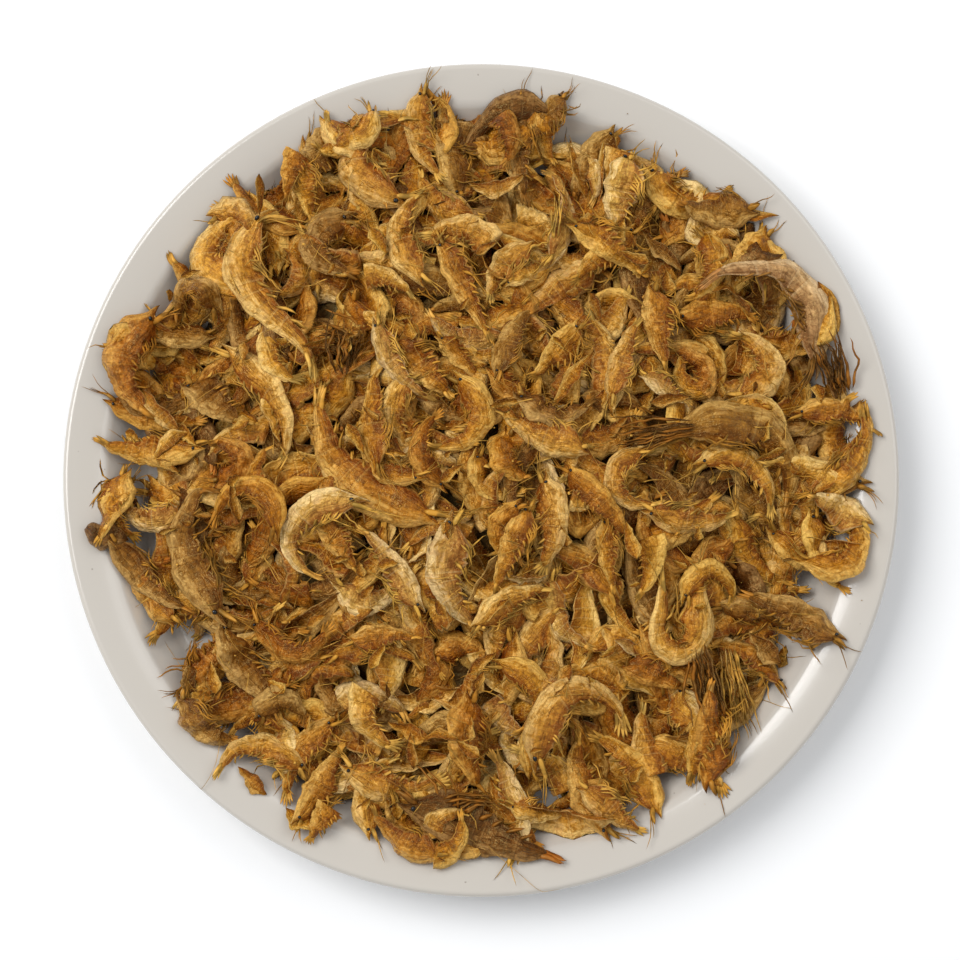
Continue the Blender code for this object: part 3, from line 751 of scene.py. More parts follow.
@dataclass(frozen=True)
class Leaf:
    """A loose piece of shell: a thin crumpled boat, pointed at both ends."""

    length: float = 8.0
    hollow: float = 0.4
    thick: float = 0.08
    ragged: float = 1.0
    pointed: float = 0.8
    leanings: Span = (0.7, 1.6)
    waves: tuple[Span, Span] = ((0.16, 11.0), (0.10, 23.0))
    sway: Span = (0.15, 7.0)
    fold: float = 0.22
    fold_seed_shift: int = 60
    steps: int = 18
    turns: int = 12
    seed: int = 5

    def build(self, name: str) -> bpy.types.Mesh:
        """Model the piece of shell.

        Args:
            name: Name of the mesh.

        Returns:
            The mesh in the same straight space as a shrimp.
        """
        mesh = new_shell_mesh()
        rng = np.random.default_rng(self.seed)
        phase = rng.uniform(0, math.tau, 4)
        lean_to = rng.uniform(*self.leanings)

        def place(s: Array, t: Array) -> Array:
            """Points of the shell's two skins."""
            s = np.clip(s, 0, 1)
            outline = np.sin(math.pi * s ** lean_to) ** self.pointed
            waves = sum(high * np.sin(pace * s + start) for (high, pace), start in zip(self.waves, phase))
            outline = outline * (1 + self.ragged * waves)
            up = np.cos(math.tau * t)
            sway, pace = self.sway
            y = outline * up + sway * np.sin(pace * s + phase[2]) * outline
            x = s * self.length
            folds = Crumple(self.seed + self.fold_seed_shift).at(x, y)
            skin = self.thick * np.sin(math.tau * t)
            z = (self.hollow * (up * up - 0.4) + skin + self.fold * self.ragged * folds) * outline
            return np.column_stack((x, y, z))

        mapped_grid(mesh, self.steps, self.turns, place)
        return mould_mesh(name, mesh)


@dataclass(frozen=True)
class Straws:
    """A loose bundle of legs lying side by side."""

    length: float = 8.0
    count: int = 26
    knots: int = 5
    starts: Span = (0.0, 2.2)
    ends: Span = (5.0, 8.2)
    fans: Span = (0.6, 1.6)
    stray: float = 0.16
    widths: Span = (0.05, 0.13)
    seed: int = 9

    def build(self, name: str) -> bpy.types.Mesh:
        """Model the bundle.

        Args:
            name: Name of the mesh.

        Returns:
            The mesh in the same straight space as a shrimp.
        """
        mesh = new_shell_mesh()
        rng = np.random.default_rng(self.seed)
        for index in range(self.count):
            y = -0.8 + 1.6 * index / (self.count - 1) + rng.uniform(-0.1, 0.1)
            fans = np.linspace(self.fans[0], rng.uniform(*self.fans), self.knots)
            along = np.linspace(rng.uniform(*self.starts), rng.uniform(*self.ends), self.knots)
            stray = np.cumsum(rng.normal(0, self.stray, (self.knots, 2)), axis=0)
            points = tuple(zip(along, y * fans + stray[:, 0], stray[:, 1]))
            Strand(points, thick=rng.uniform(*self.widths), tip=0.03, belly=0.4,
                   slot=int(rng.integers(2)), steps=9).add_to(mesh)
        return mould_mesh(name, mesh)


@dataclass
class Mould:
    """A straight shrimp's mesh and its points, ready to be bent along spines."""

    mesh: bpy.types.Mesh
    length: float
    points: Array = field(init=False)

    def __post_init__(self) -> None:
        """Read the points of the mesh."""
        flat = np.empty(len(self.mesh.vertices) * 3, dtype=np.float32)
        self.mesh.vertices.foreach_get("co", flat)
        self.points = flat.reshape(-1, 3).astype(float)

    def add_to(self, mesh: bmesh.types.BMesh, points: Array, tint: float) -> None:
        """Add a copy of the mesh to a bmesh.

        Args:
            mesh: The bmesh to add to.
            points: Where the copy's points lie, one a row.
            tint: Its own place among the shades of its tone, 0 to 1.
        """
        copy = self.mesh.copy()
        copy.vertices.foreach_set("co", points.astype(np.float32).ravel())
        copy.attributes["tint"].data.foreach_set("value", np.full(len(points), tint, dtype=np.float32))
        mesh.from_mesh(copy)
        bpy.data.meshes.remove(copy)


@dataclass(frozen=True)
class Heap:
    """Sizes of the mound and of how shrimps settle on it, the same as the solid heap's."""

    core_top: float = 29.0 * MM
    core_flatness: float = 2.4
    edge_lift: float = 1.0 * MM
    core_margin: float = 3.0 * MM
    lump: float = 1.1 * MM
    waves: Triple = (13 * MM, 11 * MM, 21 * MM)
    reach: tuple[float, ...] = (97.0, 96.0, 94.0, 96.0, 97.0, 96.0, 96.0, 92.0, 95.0, 96.0, 95.0, 92.0)
    plate_gap: float = 0.35 * MM
    radius: float = 111.0 * MM
    thickness: float = 0.62
    nest: float = 2.0 * MM
    settled_percent: float = 85
    drape: float = 0.45
    drape_reach: int = 3
    steepest: float = 0.32
    slope_stiffness: float = 1e-5
    side_places: tuple[float, ...] = (-0.9, -0.45, 0.0, 0.45, 0.9)
    most_hang: float = 6.0 * MM
    hang_spread: float = 0.2
    bend_spread: float = 0.22
    bend_gather: float = 0.5
    head_turn_share: float = 0.55
    tail_turn_from: Span = (0.4, 0.55)
    spine_steps: int = 25
    plan_steps: int = 120
    rings: tuple[Triple, ...] = (
        (0.0, 0.20, 0.32), (0.14, 0.88, 0.88), (0.36, 1.0, 1.0), (0.62, 0.84, 0.86),
        (0.86, 0.44, 0.46), (1.0, 0.60, 0.22))
    edge_seed: int = 7
    edge_count: int = 30
    edge_overhang: float = 7.0 * MM
    edge_jitter: float = 0.3
    edge_lengths: Span = (24, 32)
    edge_facings: Span = (70, 110)
    edge_curls: Span = (20, 90)
    edge_widths: Span = (6, 8.5)
    edge_middle: float = 0.45
    fill_seed: int = 41
    fill_count: int = 14
    fill_tries: int = 900
    fill_inset: float = 14 * MM
    fill_margin: float = 4 * MM
    fill_curls: Span = (15, 150)
    fill_lengths: Span = (20, 30)
    fill_widths: Span = (5.5, 8)
    most_covered: float = 0.25
    grid_step: float = 1.0 * MM

    def core_reach(self, angle: Array) -> Array:
        """Distance from the middle to the core's edge.

        Args:
            angle: Directions in radians.

        Returns:
            Distances in metres.
        """
        share = (angle / math.tau % 1.0) * len(self.reach)
        first = np.floor(share).astype(int) % len(self.reach)
        blend = share - np.floor(share)
        blend = blend * blend * (3 - 2 * blend)
        reach = np.array(self.reach)
        return MM * (reach[first] * (1 - blend) + reach[(first + 1) % len(self.reach)] * blend)

    def core_height(self, x: Array, y: Array) -> Array:
        """Height of the low uneven mound that the shrimps lie on.

        Args:
            x: Places to the right of the middle.
            y: Places to the far side of it.

        Returns:
            Heights in metres.
        """
        radius = np.hypot(x, y)
        reach = self.core_reach(np.arctan2(y, x))
        edge = PLATE.top(reach) + self.edge_lift
        inside = np.clip(1 - (radius / reach) ** self.core_flatness, 0.0, 1.0)
        wave_x, wave_y, wave_xy = self.waves
        lump = np.sin(x / wave_x + 1.0) * np.cos(y / wave_y) + np.sin((x + y) / wave_xy)
        return edge + (self.core_top - edge) * inside + self.lump * lump * inside


PLATE = Plate()
HEAP = Heap()
NOTHING = -1.0
RIM_MARGIN = 0.4 * MM
FLOOR_MARGIN = 0.12 * MM


class Ground:
    """The height of all that has been laid so far, on a square grid over the plate."""

    def __init__(self) -> None:
        """Start with the plate and the bare core."""
        half = PLATE.radius + 2 * HEAP.grid_step
        self.count = int(2 * half / HEAP.grid_step) + 1
        self.low = -half
        axis = self.low + HEAP.grid_step * np.arange(self.count)
        self.grid_x, self.grid_y = np.meshgrid(axis, axis)
        radius = np.hypot(self.grid_x, self.grid_y)
        reach = HEAP.core_reach(np.arctan2(self.grid_y, self.grid_x))
        core = np.where(radius < reach, HEAP.core_height(self.grid_x, self.grid_y), 0.0)
        self.height = np.maximum(core, PLATE.top(radius))
        self.covered = np.zeros_like(self.height)
        self.inside = (radius < reach - HEAP.core_margin).astype(float)

    def cell(self, x: Array, y: Array) -> tuple[Array, Array]:
        """The grid cell under each point.

        Args:
            x: Places to the right of the middle.
            y: Places to the far side of it.

        Returns:
            The row and the column.
        """
        column = np.clip(np.rint((x - self.low) / HEAP.grid_step).astype(int), 0, self.count - 1)
        row = np.clip(np.rint((y - self.low) / HEAP.grid_step).astype(int), 0, self.count - 1)
        return row, column

    def under(self, x: float, y: float) -> float:
        """The height under one point.

        Args:
            x: Its place to the right of the middle.
            y: Its place to the far side of it.

        Returns:
            The height in metres.
        """
        return float(self.height[self.cell(x, y)])

    def raise_to(self, points: Array, half_width: Array, half_thick: Array) -> None:
        """Add a shrimp's rounded top to the heights.

        Args:
            points: The spine.
            half_width: Half its width at each point.
            half_thick: Half its thickness at each point.
        """
        for (x, y, z), wide, thick in zip(points, half_width, half_thick):
            reach = int(wide / HEAP.grid_step) + 2
            row, column = self.cell(x, y)
            rows = slice(max(row - reach, 0), row + reach + 1)
            columns = slice(max(column - reach, 0), column + reach + 1)
            away = np.hypot(self.grid_x[rows, columns] - x, self.grid_y[rows, columns] - y) / wide
            top = z + thick * np.sqrt(np.clip(1 - away * away, 0.0, 1.0))
            patch = self.height[rows, columns]
            patch[:] = np.where(away < 1, np.maximum(patch, top), patch)
            self.covered[rows, columns][away < 1] = 1.0


def blurred(values: Array, passes: int) -> Array:
    """A square grid of values blurred by a small box.

    Args:
        values: The grid.
        passes: How many times it is blurred.

    Returns:
        The blurred grid.
    """
    size = len(values)
    for _ in range(passes):
        padded = np.pad(values, 2, mode="edge")
        values = sum(padded[row:row + size, column:column + size]
                     for row in range(5) for column in range(5)) / 25
    return values


def running_mean(values: Array, reach: int) -> Array:
    """A row of values, each averaged with those up to reach places away.

    Args:
        values: The row.
        reach: How many places are taken in on each side.

    Returns:
        A row of the same length.
    """
    width = 2 * reach + 1
    return np.convolve(np.pad(values, reach, mode="edge"), np.ones(width) / width, mode="valid")


def smooth_step(value: Array, low: float, high: float) -> Array:
    """0 below low, 1 above high and a smooth rise between.

    Args:
        value: The values.
        low: Where the rise starts.
        high: Where it ends.

    Returns:
        Shares of the rise.
    """
    part = np.clip((value - low) / (high - low), 0.0, 1.0)
    return part * part * (3 - 2 * part)


def plan_spine(shrimp: Shrimp, share: Array) -> tuple[Array, Array]:
    """Points of the spine in plan, moved in where they would pass the rim.

    Args:
        shrimp: The shrimp as it lies.
        share: Shares of its length.

    Returns:
        The x and the y of the points.
    """
    fine = np.linspace(0.0, 1.0, HEAP.plan_steps + 1)
    gather = np.arctan((fine - shrimp.bend_at) / HEAP.bend_spread)
    gather = (gather - gather[0]) / (gather[-1] - gather[0])
    turn = (1 - HEAP.bend_gather) * fine + HEAP.bend_gather * gather
    turn = turn - np.interp(shrimp.bend_at, fine, turn)
    heading = shrimp.facing + math.copysign(90, shrimp.curl) + shrimp.curl * turn
    heading -= shrimp.head_turn * (1 - smooth_step(fine, 0.0, shrimp.bend_at * HEAP.head_turn_share))
    bend_part, least = HEAP.tail_turn_from
    heading += shrimp.tail_turn * smooth_step(fine, shrimp.bend_at * bend_part + least, 1.0)
    heading = np.radians(heading)
    step = shrimp.length * MM / HEAP.plan_steps
    x = np.cumsum(np.cos(heading)) * step
    y = np.cumsum(np.sin(heading)) * step
    x += shrimp.x * MM - np.interp(shrimp.bend_at, fine, x)
    y += shrimp.y * MM - np.interp(shrimp.bend_at, fine, y)
    over = np.hypot(x, y).max() + shrimp.width * MM / 2 - HEAP.radius
    if over > 0:
        outermost = np.hypot(x, y).argmax()
        inward = math.atan2(y[outermost], x[outermost])
        x -= over * math.cos(inward)
        y -= over * math.sin(inward)
    return np.interp(share, fine, x), np.interp(share, fine, y)


def girth(shrimp: Shrimp, share: Array) -> tuple[Array, Array]:
    """How wide and thick a shrimp is along its length.

    Args:
        shrimp: The shrimp as it lies.
        share: Shares of its length.

    Returns:
        Half its width and half its thickness there.
    """
    at, wide, thick = (np.array(column) for column in zip(*HEAP.rings))
    half = shrimp.width * MM / 2
    return half * np.interp(share, at, wide), half * HEAP.thickness * np.interp(share, at, thick)


def across_body(x: Array, y: Array, wide: Array,
                thick: Array) -> Iterator[tuple[Array, Array, Array]]:
    """Places across the body along its length.

    Args:
        x: The spine's places to the right.
        y: The spine's places to the far side.
        wide: Half the width along the spine.
        thick: Half the thickness along it.

    Returns:
        For each place across, its x and y, and how far the underside hangs below the spine.
    """
    run_x, run_y = np.gradient(x), np.gradient(y)
    run = np.hypot(run_x, run_y)
    for across in HEAP.side_places:
        drop = thick * math.sqrt(1 - across * across)
        yield x - across * wide * run_y / run, y + across * wide * run_x / run, drop


def settle(shrimp: Shrimp, ground: Ground, share: Array) -> Array:
    """The spine at rest on what lies below: partly a straight tilt, partly draped over it.

    Args:
        shrimp: The shrimp as it lies.
        ground: What lies below.
        share: Shares of the length.

    Returns:
        The spine's points, one a row.
    """
    x, y = plan_spine(shrimp, share)
    wide, thick = girth(shrimp, share)
    below = np.full_like(x, NOTHING)
    heap = np.full_like(x, NOTHING)
    for at_x, at_y, drop in across_body(x, y, wide, thick):
        height = ground.height[ground.cell(at_x, at_y)]
        on_heap = height > PLATE.top(np.hypot(at_x, at_y)) + HEAP.edge_lift
        below = np.maximum(below, height + drop)
        heap = np.maximum(heap, np.where(on_heap, height + drop, NOTHING))
    z = lean(x, y, below)
    z += max(0.0, np.percentile(below - z, HEAP.settled_percent) - HEAP.nest)
    z += plate_lift(x, y, z, wide, thick, share)
    nearest = (z - heap).argmin()
    hang = z[nearest] - heap[nearest] + HEAP.nest
    if 0 < hang < HEAP.most_hang:
        z -= hang * np.exp(-((share - share[nearest]) / HEAP.hang_spread) ** 2)
        z += plate_lift(x, y, z, wide, thick, share)
    return np.column_stack((x, y, z))


def lean(x: Array, y: Array, below: Array) -> Array:
    """A plane of limited slope through the supports, with part of what is left added back.

    Args:
        x: The spine's places to the right.
        y: The spine's places to the far side.
        below: The lowest height that clears what lies below.

    Returns:
        Heights along the spine.
    """
    base = np.column_stack((np.ones_like(x), x - x.mean(), y - y.mean()))
    square = base.T @ base + np.diag((0.0, HEAP.slope_stiffness, HEAP.slope_stiffness))
    weights = np.linalg.lstsq(square, base.T @ below, rcond=None)[0]
    slope = math.hypot(weights[1], weights[2])
    if slope > HEAP.steepest:
        weights[1:] *= HEAP.steepest / slope
    plane = base @ weights
    return plane + HEAP.drape * running_mean(below - plane, HEAP.drape_reach)


def plate_lift(x: Array, y: Array, z: Array, wide: Array, thick: Array, share: Array) -> float:
    """How far a body has to rise so that no straight stretch of it cuts into the plate.

    Args:
        x: The spine's places to the right.
        y: The spine's places to the far side.
        z: The spine's heights.
        wide: Half the width along the spine.
        thick: Half the thickness along it.
        share: Shares of the length.

    Returns:
        The rise, 0 where none is needed.
    """
    at_ring = np.array([ring[0] for ring in HEAP.rings])
    chord_x, chord_y, chord_z = (np.interp(share, at_ring, np.interp(at_ring, share, line))
                                 for line in (x, y, z))
    lift = 0.0
    for at_x, at_y, drop in across_body(chord_x, chord_y, wide, thick):
        top = PLATE.top(np.hypot(at_x, at_y)) + drop + HEAP.plate_gap
        lift = max(lift, (top - chord_z).max())
    return lift


class ShrimpLayer:
    """All the shrimps of the heap, laid in order and bent out of their moulds."""

    seed = 77
    slim_width = 5.0
    short_length = 14.5
    headless_share = 0.14
    longest_headless = 35.0
    tone_shares = {Tone.GOLDEN: 0.36, Tone.STRAW: 0.22, Tone.AMBER: 0.17, Tone.BROWN: 0.14,
                   Tone.DARK: 0.03, Tone.BONE: 0.08}
    deep_seed = 23
    deep_layers = ((320, 4.8 * MM), (390, 1.7 * MM))
    ring_count = 90
    ring_from = 82.0
    ring_depth = 2.2 * MM
    ring_spread = 28.0
    deep_smoothing = 3
    deep_reach = 106.0
    deep_cover = 0.42
    deep_curls = (20, 150)
    deep_lengths = (19, 34)
    deep_widths = (6.5, 9.5)
    deep_rise = 0.6 * MM
    deep_tilt = 0.08
    deep_leaf_share = 0.25
    body_widening = 1.1
    spine_fine = 73
    spine_softening = (0.06, 0.24, 0.40, 0.24, 0.06)
    rolls = {Form.LEAF: 25.0}
    usual_roll = 15.0
    twist = 0.22
    bend_room = 0.95
    least_turning = 0.05
    belly_shift = 0.38
    full_curl = 140.0
    sway = 0.05
    thicknesses = (0.85, 1.15)
    warp = 0.10

    def __init__(self) -> None:
        """Set the heap's ground and the moulds, with nothing laid yet."""
        self.ground = Ground()
        self.share = np.linspace(0, 1, HEAP.spine_steps)
        self.rng = np.random.default_rng(self.seed)
        self.moulds = self.make_moulds()
        self.kinds: defaultdict[tuple[Tone, bool], bmesh.types.BMesh] = defaultdict(bmesh.new)
        self.laid = 0

    @staticmethod
    def make_moulds() -> dict[Form, list[Mould]]:
        """Model each form a few times over.

        Returns:
            The moulds of each form.
        """
        whole = [Anatomy(seed=seed, fan=fan, crumple=crumple, eyes=eyes, feelers=feelers)
                 for seed, fan, crumple, eyes, feelers in (
                     (1, 0.2, 0.16, True, 3), (2, 0.35, 0.20, False, 2), (3, 0.6, 0.15, True, 4),
                     (4, 0.25, 0.22, True, 2), (5, 0.15, 0.18, False, 3), (6, 0.45, 0.20, True, 2))]
        headless = [Anatomy(seed=seed, cut_head=True, fan=fan) for seed, fan in ((11, 0.25), (12, 0.5))]
        few = {"turns": 10, "rings_a_segment": (0.0, 0.5), "swimmerets": 1, "blades": 3, "limb_turns": 3}
        simple = [Anatomy(seed=seed, head_steps=6, legs=5, eyes=False, feelers=1, fan=0.5, **few)
                  for seed in (21, 22, 23, 24)]
        simple += [Anatomy(seed=seed, cut_head=True, **few) for seed in (25, 26)]
        plans = {Form.WHOLE: whole, Form.HEADLESS: headless, Form.SIMPLE: simple,
                 Form.LEAF: [Leaf(seed=seed) for seed in (31, 32, 33)],
                 Form.LUMP: [Leaf(seed=35, length=3.2, hollow=0.0, thick=0.75, ragged=0.45)],
                 Form.STRAWS: [Straws(seed=seed) for seed in (41, 42)]}
        return {form: [Mould(plan.build(f"{form.value}_{index}"), plan.length)
                       for index, plan in enumerate(row)]
                for form, row in plans.items()}

    def form_of(self, shrimp: Shrimp) -> Form:
        """Which form a placed shrimp takes.

        Args:
            shrimp: The shrimp as it lies.

        Returns:
            Its own form, or else one by its size and a draw.
        """
        if shrimp.form is not None:
            return shrimp.form
        if shrimp.width < self.slim_width or shrimp.length < self.short_length:
            return Form.LEAF
        if self.rng.random() < self.headless_share and shrimp.length < self.longest_headless:
            return Form.HEADLESS
        return Form.WHOLE

    def lay_all(self) -> None:
        """Lay the bottom ring, the placed shrimps and the small ones, then pack the gaps below."""
        for shrimp in self.edge_ring():
            self.lay(shrimp, Form.WHOLE)
        for shrimp in LOWER + UPPER:
            self.lay(shrimp, self.form_of(shrimp))
        for shrimp in self.small_ones():
            self.lay(shrimp, Form.WHOLE)
        self.pack_gaps()

    def lay(self, shrimp: Shrimp, form: Form) -> None:
        """Settle one shrimp on the ground, raise the ground by it and add its mesh.

        Args:
            shrimp: The shrimp as it lies.
            form: What is left of it.
        """
        spine = settle(shrimp, self.ground, self.share)
        self.ground.raise_to(spine, *girth(shrimp, self.share))
        self.add(shrimp, spine, form)

    def edge_ring(self) -> Iterator[Shrimp]:
        """The lowest ring: shrimps that lie outwards from the core over the plate's wall.

        Returns:
            The shrimps, one direction after another.
        """
        rng = np.random.default_rng(HEAP.edge_seed)
        for index in range(HEAP.edge_count):
            jitter = rng.uniform(-HEAP.edge_jitter, HEAP.edge_jitter)
            angle = math.tau * (index + jitter) / HEAP.edge_count
            length = rng.uniform(*HEAP.edge_lengths)
            across = rng.choice((-1, 1)) * rng.uniform(*HEAP.edge_facings)
            curl = rng.choice((-1, 1)) * rng.uniform(*HEAP.edge_curls)
            width = rng.uniform(*HEAP.edge_widths)
            overhang = (float(HEAP.core_reach(np.array(angle))) + HEAP.edge_overhang) / MM
            radius = overhang - HEAP.edge_middle * length
            yield Shrimp(radius * math.cos(angle), radius * math.sin(angle),
                         math.degrees(angle) + across, curl, length, width, self.any_tone())

    def small_ones(self) -> Iterator[Shrimp]:
        """Smaller shrimps by a seeded rule, spread on a spiral over the places still bare.

        Returns:
            The shrimps that fit.
        """
        rng = np.random.default_rng(HEAP.fill_seed)
        found = 0
        for index in range(HEAP.fill_tries):
            if found == HEAP.fill_count:
                break
            radius = (HEAP.radius - HEAP.fill_inset) * math.sqrt((index + 0.5) / HEAP.fill_tries)
            angle = index * GOLDEN_ANGLE
            shrimp = Shrimp(
                x=radius * math.cos(angle) / MM, y=radius * math.sin(angle) / MM,
                facing=rng.uniform(0, 360), curl=rng.choice((-1, 1)) * rng.uniform(*HEAP.fill_curls),
                length=rng.uniform(*HEAP.fill_lengths), width=rng.uniform(*HEAP.fill_widths),
                tone=self.any_tone())
            x, y = plan_spine(shrimp, self.share)
            if self.ground.covered[self.ground.cell(x, y)].mean() > HEAP.most_covered:
                continue
            if (np.hypot(x, y) > HEAP.core_reach(np.arctan2(y, x)) + HEAP.fill_margin).any():
                continue
            found += 1
            yield shrimp

    def pack_gaps(self) -> None:
        """Lay the shrimps that show only through gaps, in layers under the finished surface."""
        rng = np.random.default_rng(self.deep_seed)
        surface = blurred(self.ground.height, self.deep_smoothing)
        cover = blurred(np.maximum(self.ground.covered, self.ground.inside), self.deep_smoothing)
        turn = 0
        for count, depth in self.deep_layers:
            for index in range(count):
                turn += 1
                radius = self.deep_reach * math.sqrt((index + 0.5) / count)
                self.tuck(rng, surface, cover, depth, radius, turn * GOLDEN_ANGLE, rng.uniform(0, 360))
        for index in range(self.ring_count):
            angle = index * GOLDEN_ANGLE
            radius = rng.uniform(self.ring_from, self.deep_reach)
            facing = math.degrees(angle) + rng.choice((0, 180)) + rng.normal(0, self.ring_spread)
            self.tuck(rng, surface, cover, self.ring_depth, radius, angle, facing)

    def tuck(self, rng: np.random.Generator, surface: Array, cover: Array, depth: float,
             radius: float, angle: float, facing: float) -> None:
        """Put one shrimp under the surface where the heap covers it.

        Args:
            rng: Gives its size, tone and tilt.
            surface: The finished surface, blurred.
            cover: 1 inside the heap and 0 outside, blurred.
            depth: How far its top lies below the surface.
            radius: Its distance from the middle, in millimetres.
            angle: Its direction from the middle, in radians.
            facing: The way its back turns, in degrees.
        """
        shrimp = Shrimp(radius * math.cos(angle), radius * math.sin(angle), facing,
                        rng.choice((-1, 1)) * rng.uniform(*self.deep_curls),
                        rng.uniform(*self.deep_lengths), rng.uniform(*self.deep_widths), self.any_tone())
        x, y = plan_spine(shrimp, self.share)
        if cover[self.ground.cell(x, y)].min() < self.deep_cover:
            return
        wide, thick = girth(shrimp, self.share)
        z = surface[self.ground.cell(x, y)] - depth - thick
        z = running_mean(z, HEAP.drape_reach)
        z += rng.uniform(-self.deep_rise, self.deep_rise)
        z += rng.uniform(-self.deep_tilt, self.deep_tilt) * (x - x.mean())
        z += plate_lift(x, y, z, wide, thick, self.share)
        form = Form.LEAF if rng.random() < self.deep_leaf_share else Form.SIMPLE
        self.add(shrimp, np.column_stack((x, y, z)), form, deep=True)

    def any_tone(self) -> Tone:
        """A tone drawn by how common each is in the heap.

        Returns:
            The tone.
        """
        letters = [tone.value for tone in self.tone_shares]
        return Tone(self.rng.choice(letters, p=list(self.tone_shares.values())))

    def add(self, shrimp: Shrimp, spine: Array, form: Form, deep: bool = False) -> None:
        """Bend a mould along a spine and join the mesh to its tone's piece.

        Args:
            shrimp: The shrimp as it lies.
            spine: Its spine in place.
            form: What is left of it.
            deep: Whether it shows only through gaps.
        """
        moulds = self.moulds[form]
        mould = moulds[self.laid % len(moulds)]
        self.laid += 1
        roll = self.rng.normal(0, self.rolls.get(form, self.usual_roll))
        bent = self.bend(mould, shrimp, spine, math.radians(roll))
        mould.add_to(self.kinds[shrimp.tone, deep], bent, self.rng.random())

    def bend(self, mould: Mould, shrimp: Shrimp, spine: Array, roll: float) -> Array:
        """Carry a straight shrimp's points onto a bent spine.

        Args:
            mould: The straight shrimp.
            shrimp: Gives the width, and the side that the belly is on.
            spine: The spine in place.
            roll: Turn about the spine, in radians.

        Returns:
            The points in place, one a row.
        """
        rng = self.rng
        half = shrimp.width * MM / 2 * self.body_widening
        length = shrimp.length * MM
        fine = np.linspace(0, 1, self.spine_fine)
        line = self.softened(np.column_stack([np.interp(fine, self.share, axis) for axis in spine.T]))
        run = np.gradient(line, axis=0)
        run /= np.linalg.norm(run, axis=1)[:, None]
        back = np.cross(run, (0.0, 0.0, 1.0)) * math.copysign(1, shrimp.curl)
        back /= np.linalg.norm(back, axis=1)[:, None]
        side = np.cross(back, run)
        twist = roll + self.twist * np.sin(fine * rng.uniform(2, 6) + rng.uniform(0, 6))
        turned_back = back * np.cos(twist)[:, None] + side * np.sin(twist)[:, None]
        turned_side = side * np.cos(twist)[:, None] - back * np.sin(twist)[:, None]
        heading = np.unwrap(np.arctan2(run[:, 1], run[:, 0]))
        turning = np.abs(np.gradient(heading)) / (length / (self.spine_fine - 1))
        room = self.bend_room / np.maximum(turning * half, self.least_turning)
        points = mould.points.copy()
        share = points[:, 0] / mould.length
        inward = self.belly_shift * min(1.0, abs(shrimp.curl) / self.full_curl)
        sway = self.sway * np.sin(math.tau * (share * rng.uniform(2, 5)) + rng.uniform(0, 6))
        y = points[:, 1] - inward + sway
        z = points[:, 2] * rng.uniform(*self.thicknesses)
        z = z + self.warp * np.sin(math.tau * share * rng.uniform(1, 4) + 1.5 * y + rng.uniform(0, 6))
        inner = np.interp(share, fine, room)
        y = np.where(y < 0, -inner * (1 - np.exp(y / inner)), y)
        on_line = np.clip(share, 0, 1)
        beyond = (share - on_line) * length
        frames = [np.column_stack([np.interp(on_line, fine, axis) for axis in rows.T])
                  for rows in (line, run, turned_back, turned_side)]
        middle, along, up, out = frames
        placed = middle + along * beyond[:, None] + up * (y * half)[:, None] + out * (z * half)[:, None]
        return kept_on_plate(placed)

    def softened(self, line: Array) -> Array:
        """A line of points with its small kinks averaged out and its ends kept.

        Args:
            line: One point a row.

        Returns:
            As many points.
        """
        reach = len(self.spine_softening) // 2
        padded = np.pad(line, ((reach, reach), (0, 0)), mode="reflect", reflect_type="odd")
        return np.column_stack([np.convolve(axis, self.spine_softening, mode="valid")
                                for axis in padded.T])

    def dress(self, paint: "Paint") -> None:
        """Make a piece of each tone, those deep in the gaps apart, and give it its materials.

        Args:
            paint: Makes the materials.
        """
        for (tone, deep), mesh in self.kinds.items():
            layer = "deep" if deep else "top"
            piece = finish_mesh(f"{layer}_shrimps_{tone.name.lower()}", mesh)
            add_piece(piece, "shrimp_heap", paint.tone(tone))


def kept_on_plate(points: Array, margin: float = 0.05 * MM) -> Array:
    """Points moved, where they need it, to lie above the plate, inside its rim and under the top.

    Args:
        points: One point a row.
        margin: Distance to keep under the top.

    Returns:
        The same points, kept in.
    """
    radius = np.hypot(points[:, 0], points[:, 1])
    limit = PLATE.radius - RIM_MARGIN
    shrink = np.minimum(1.0, limit / np.maximum(radius, MM))
    points[:, :2] *= shrink[:, None]
    floor = PLATE.top(radius * shrink) + FLOOR_MARGIN
    points[:, 2] -= max(0.0, points[:, 2].max() - CAD_HIGH.z + margin)
    points[:, 2] = np.maximum(points[:, 2], floor)
    return points


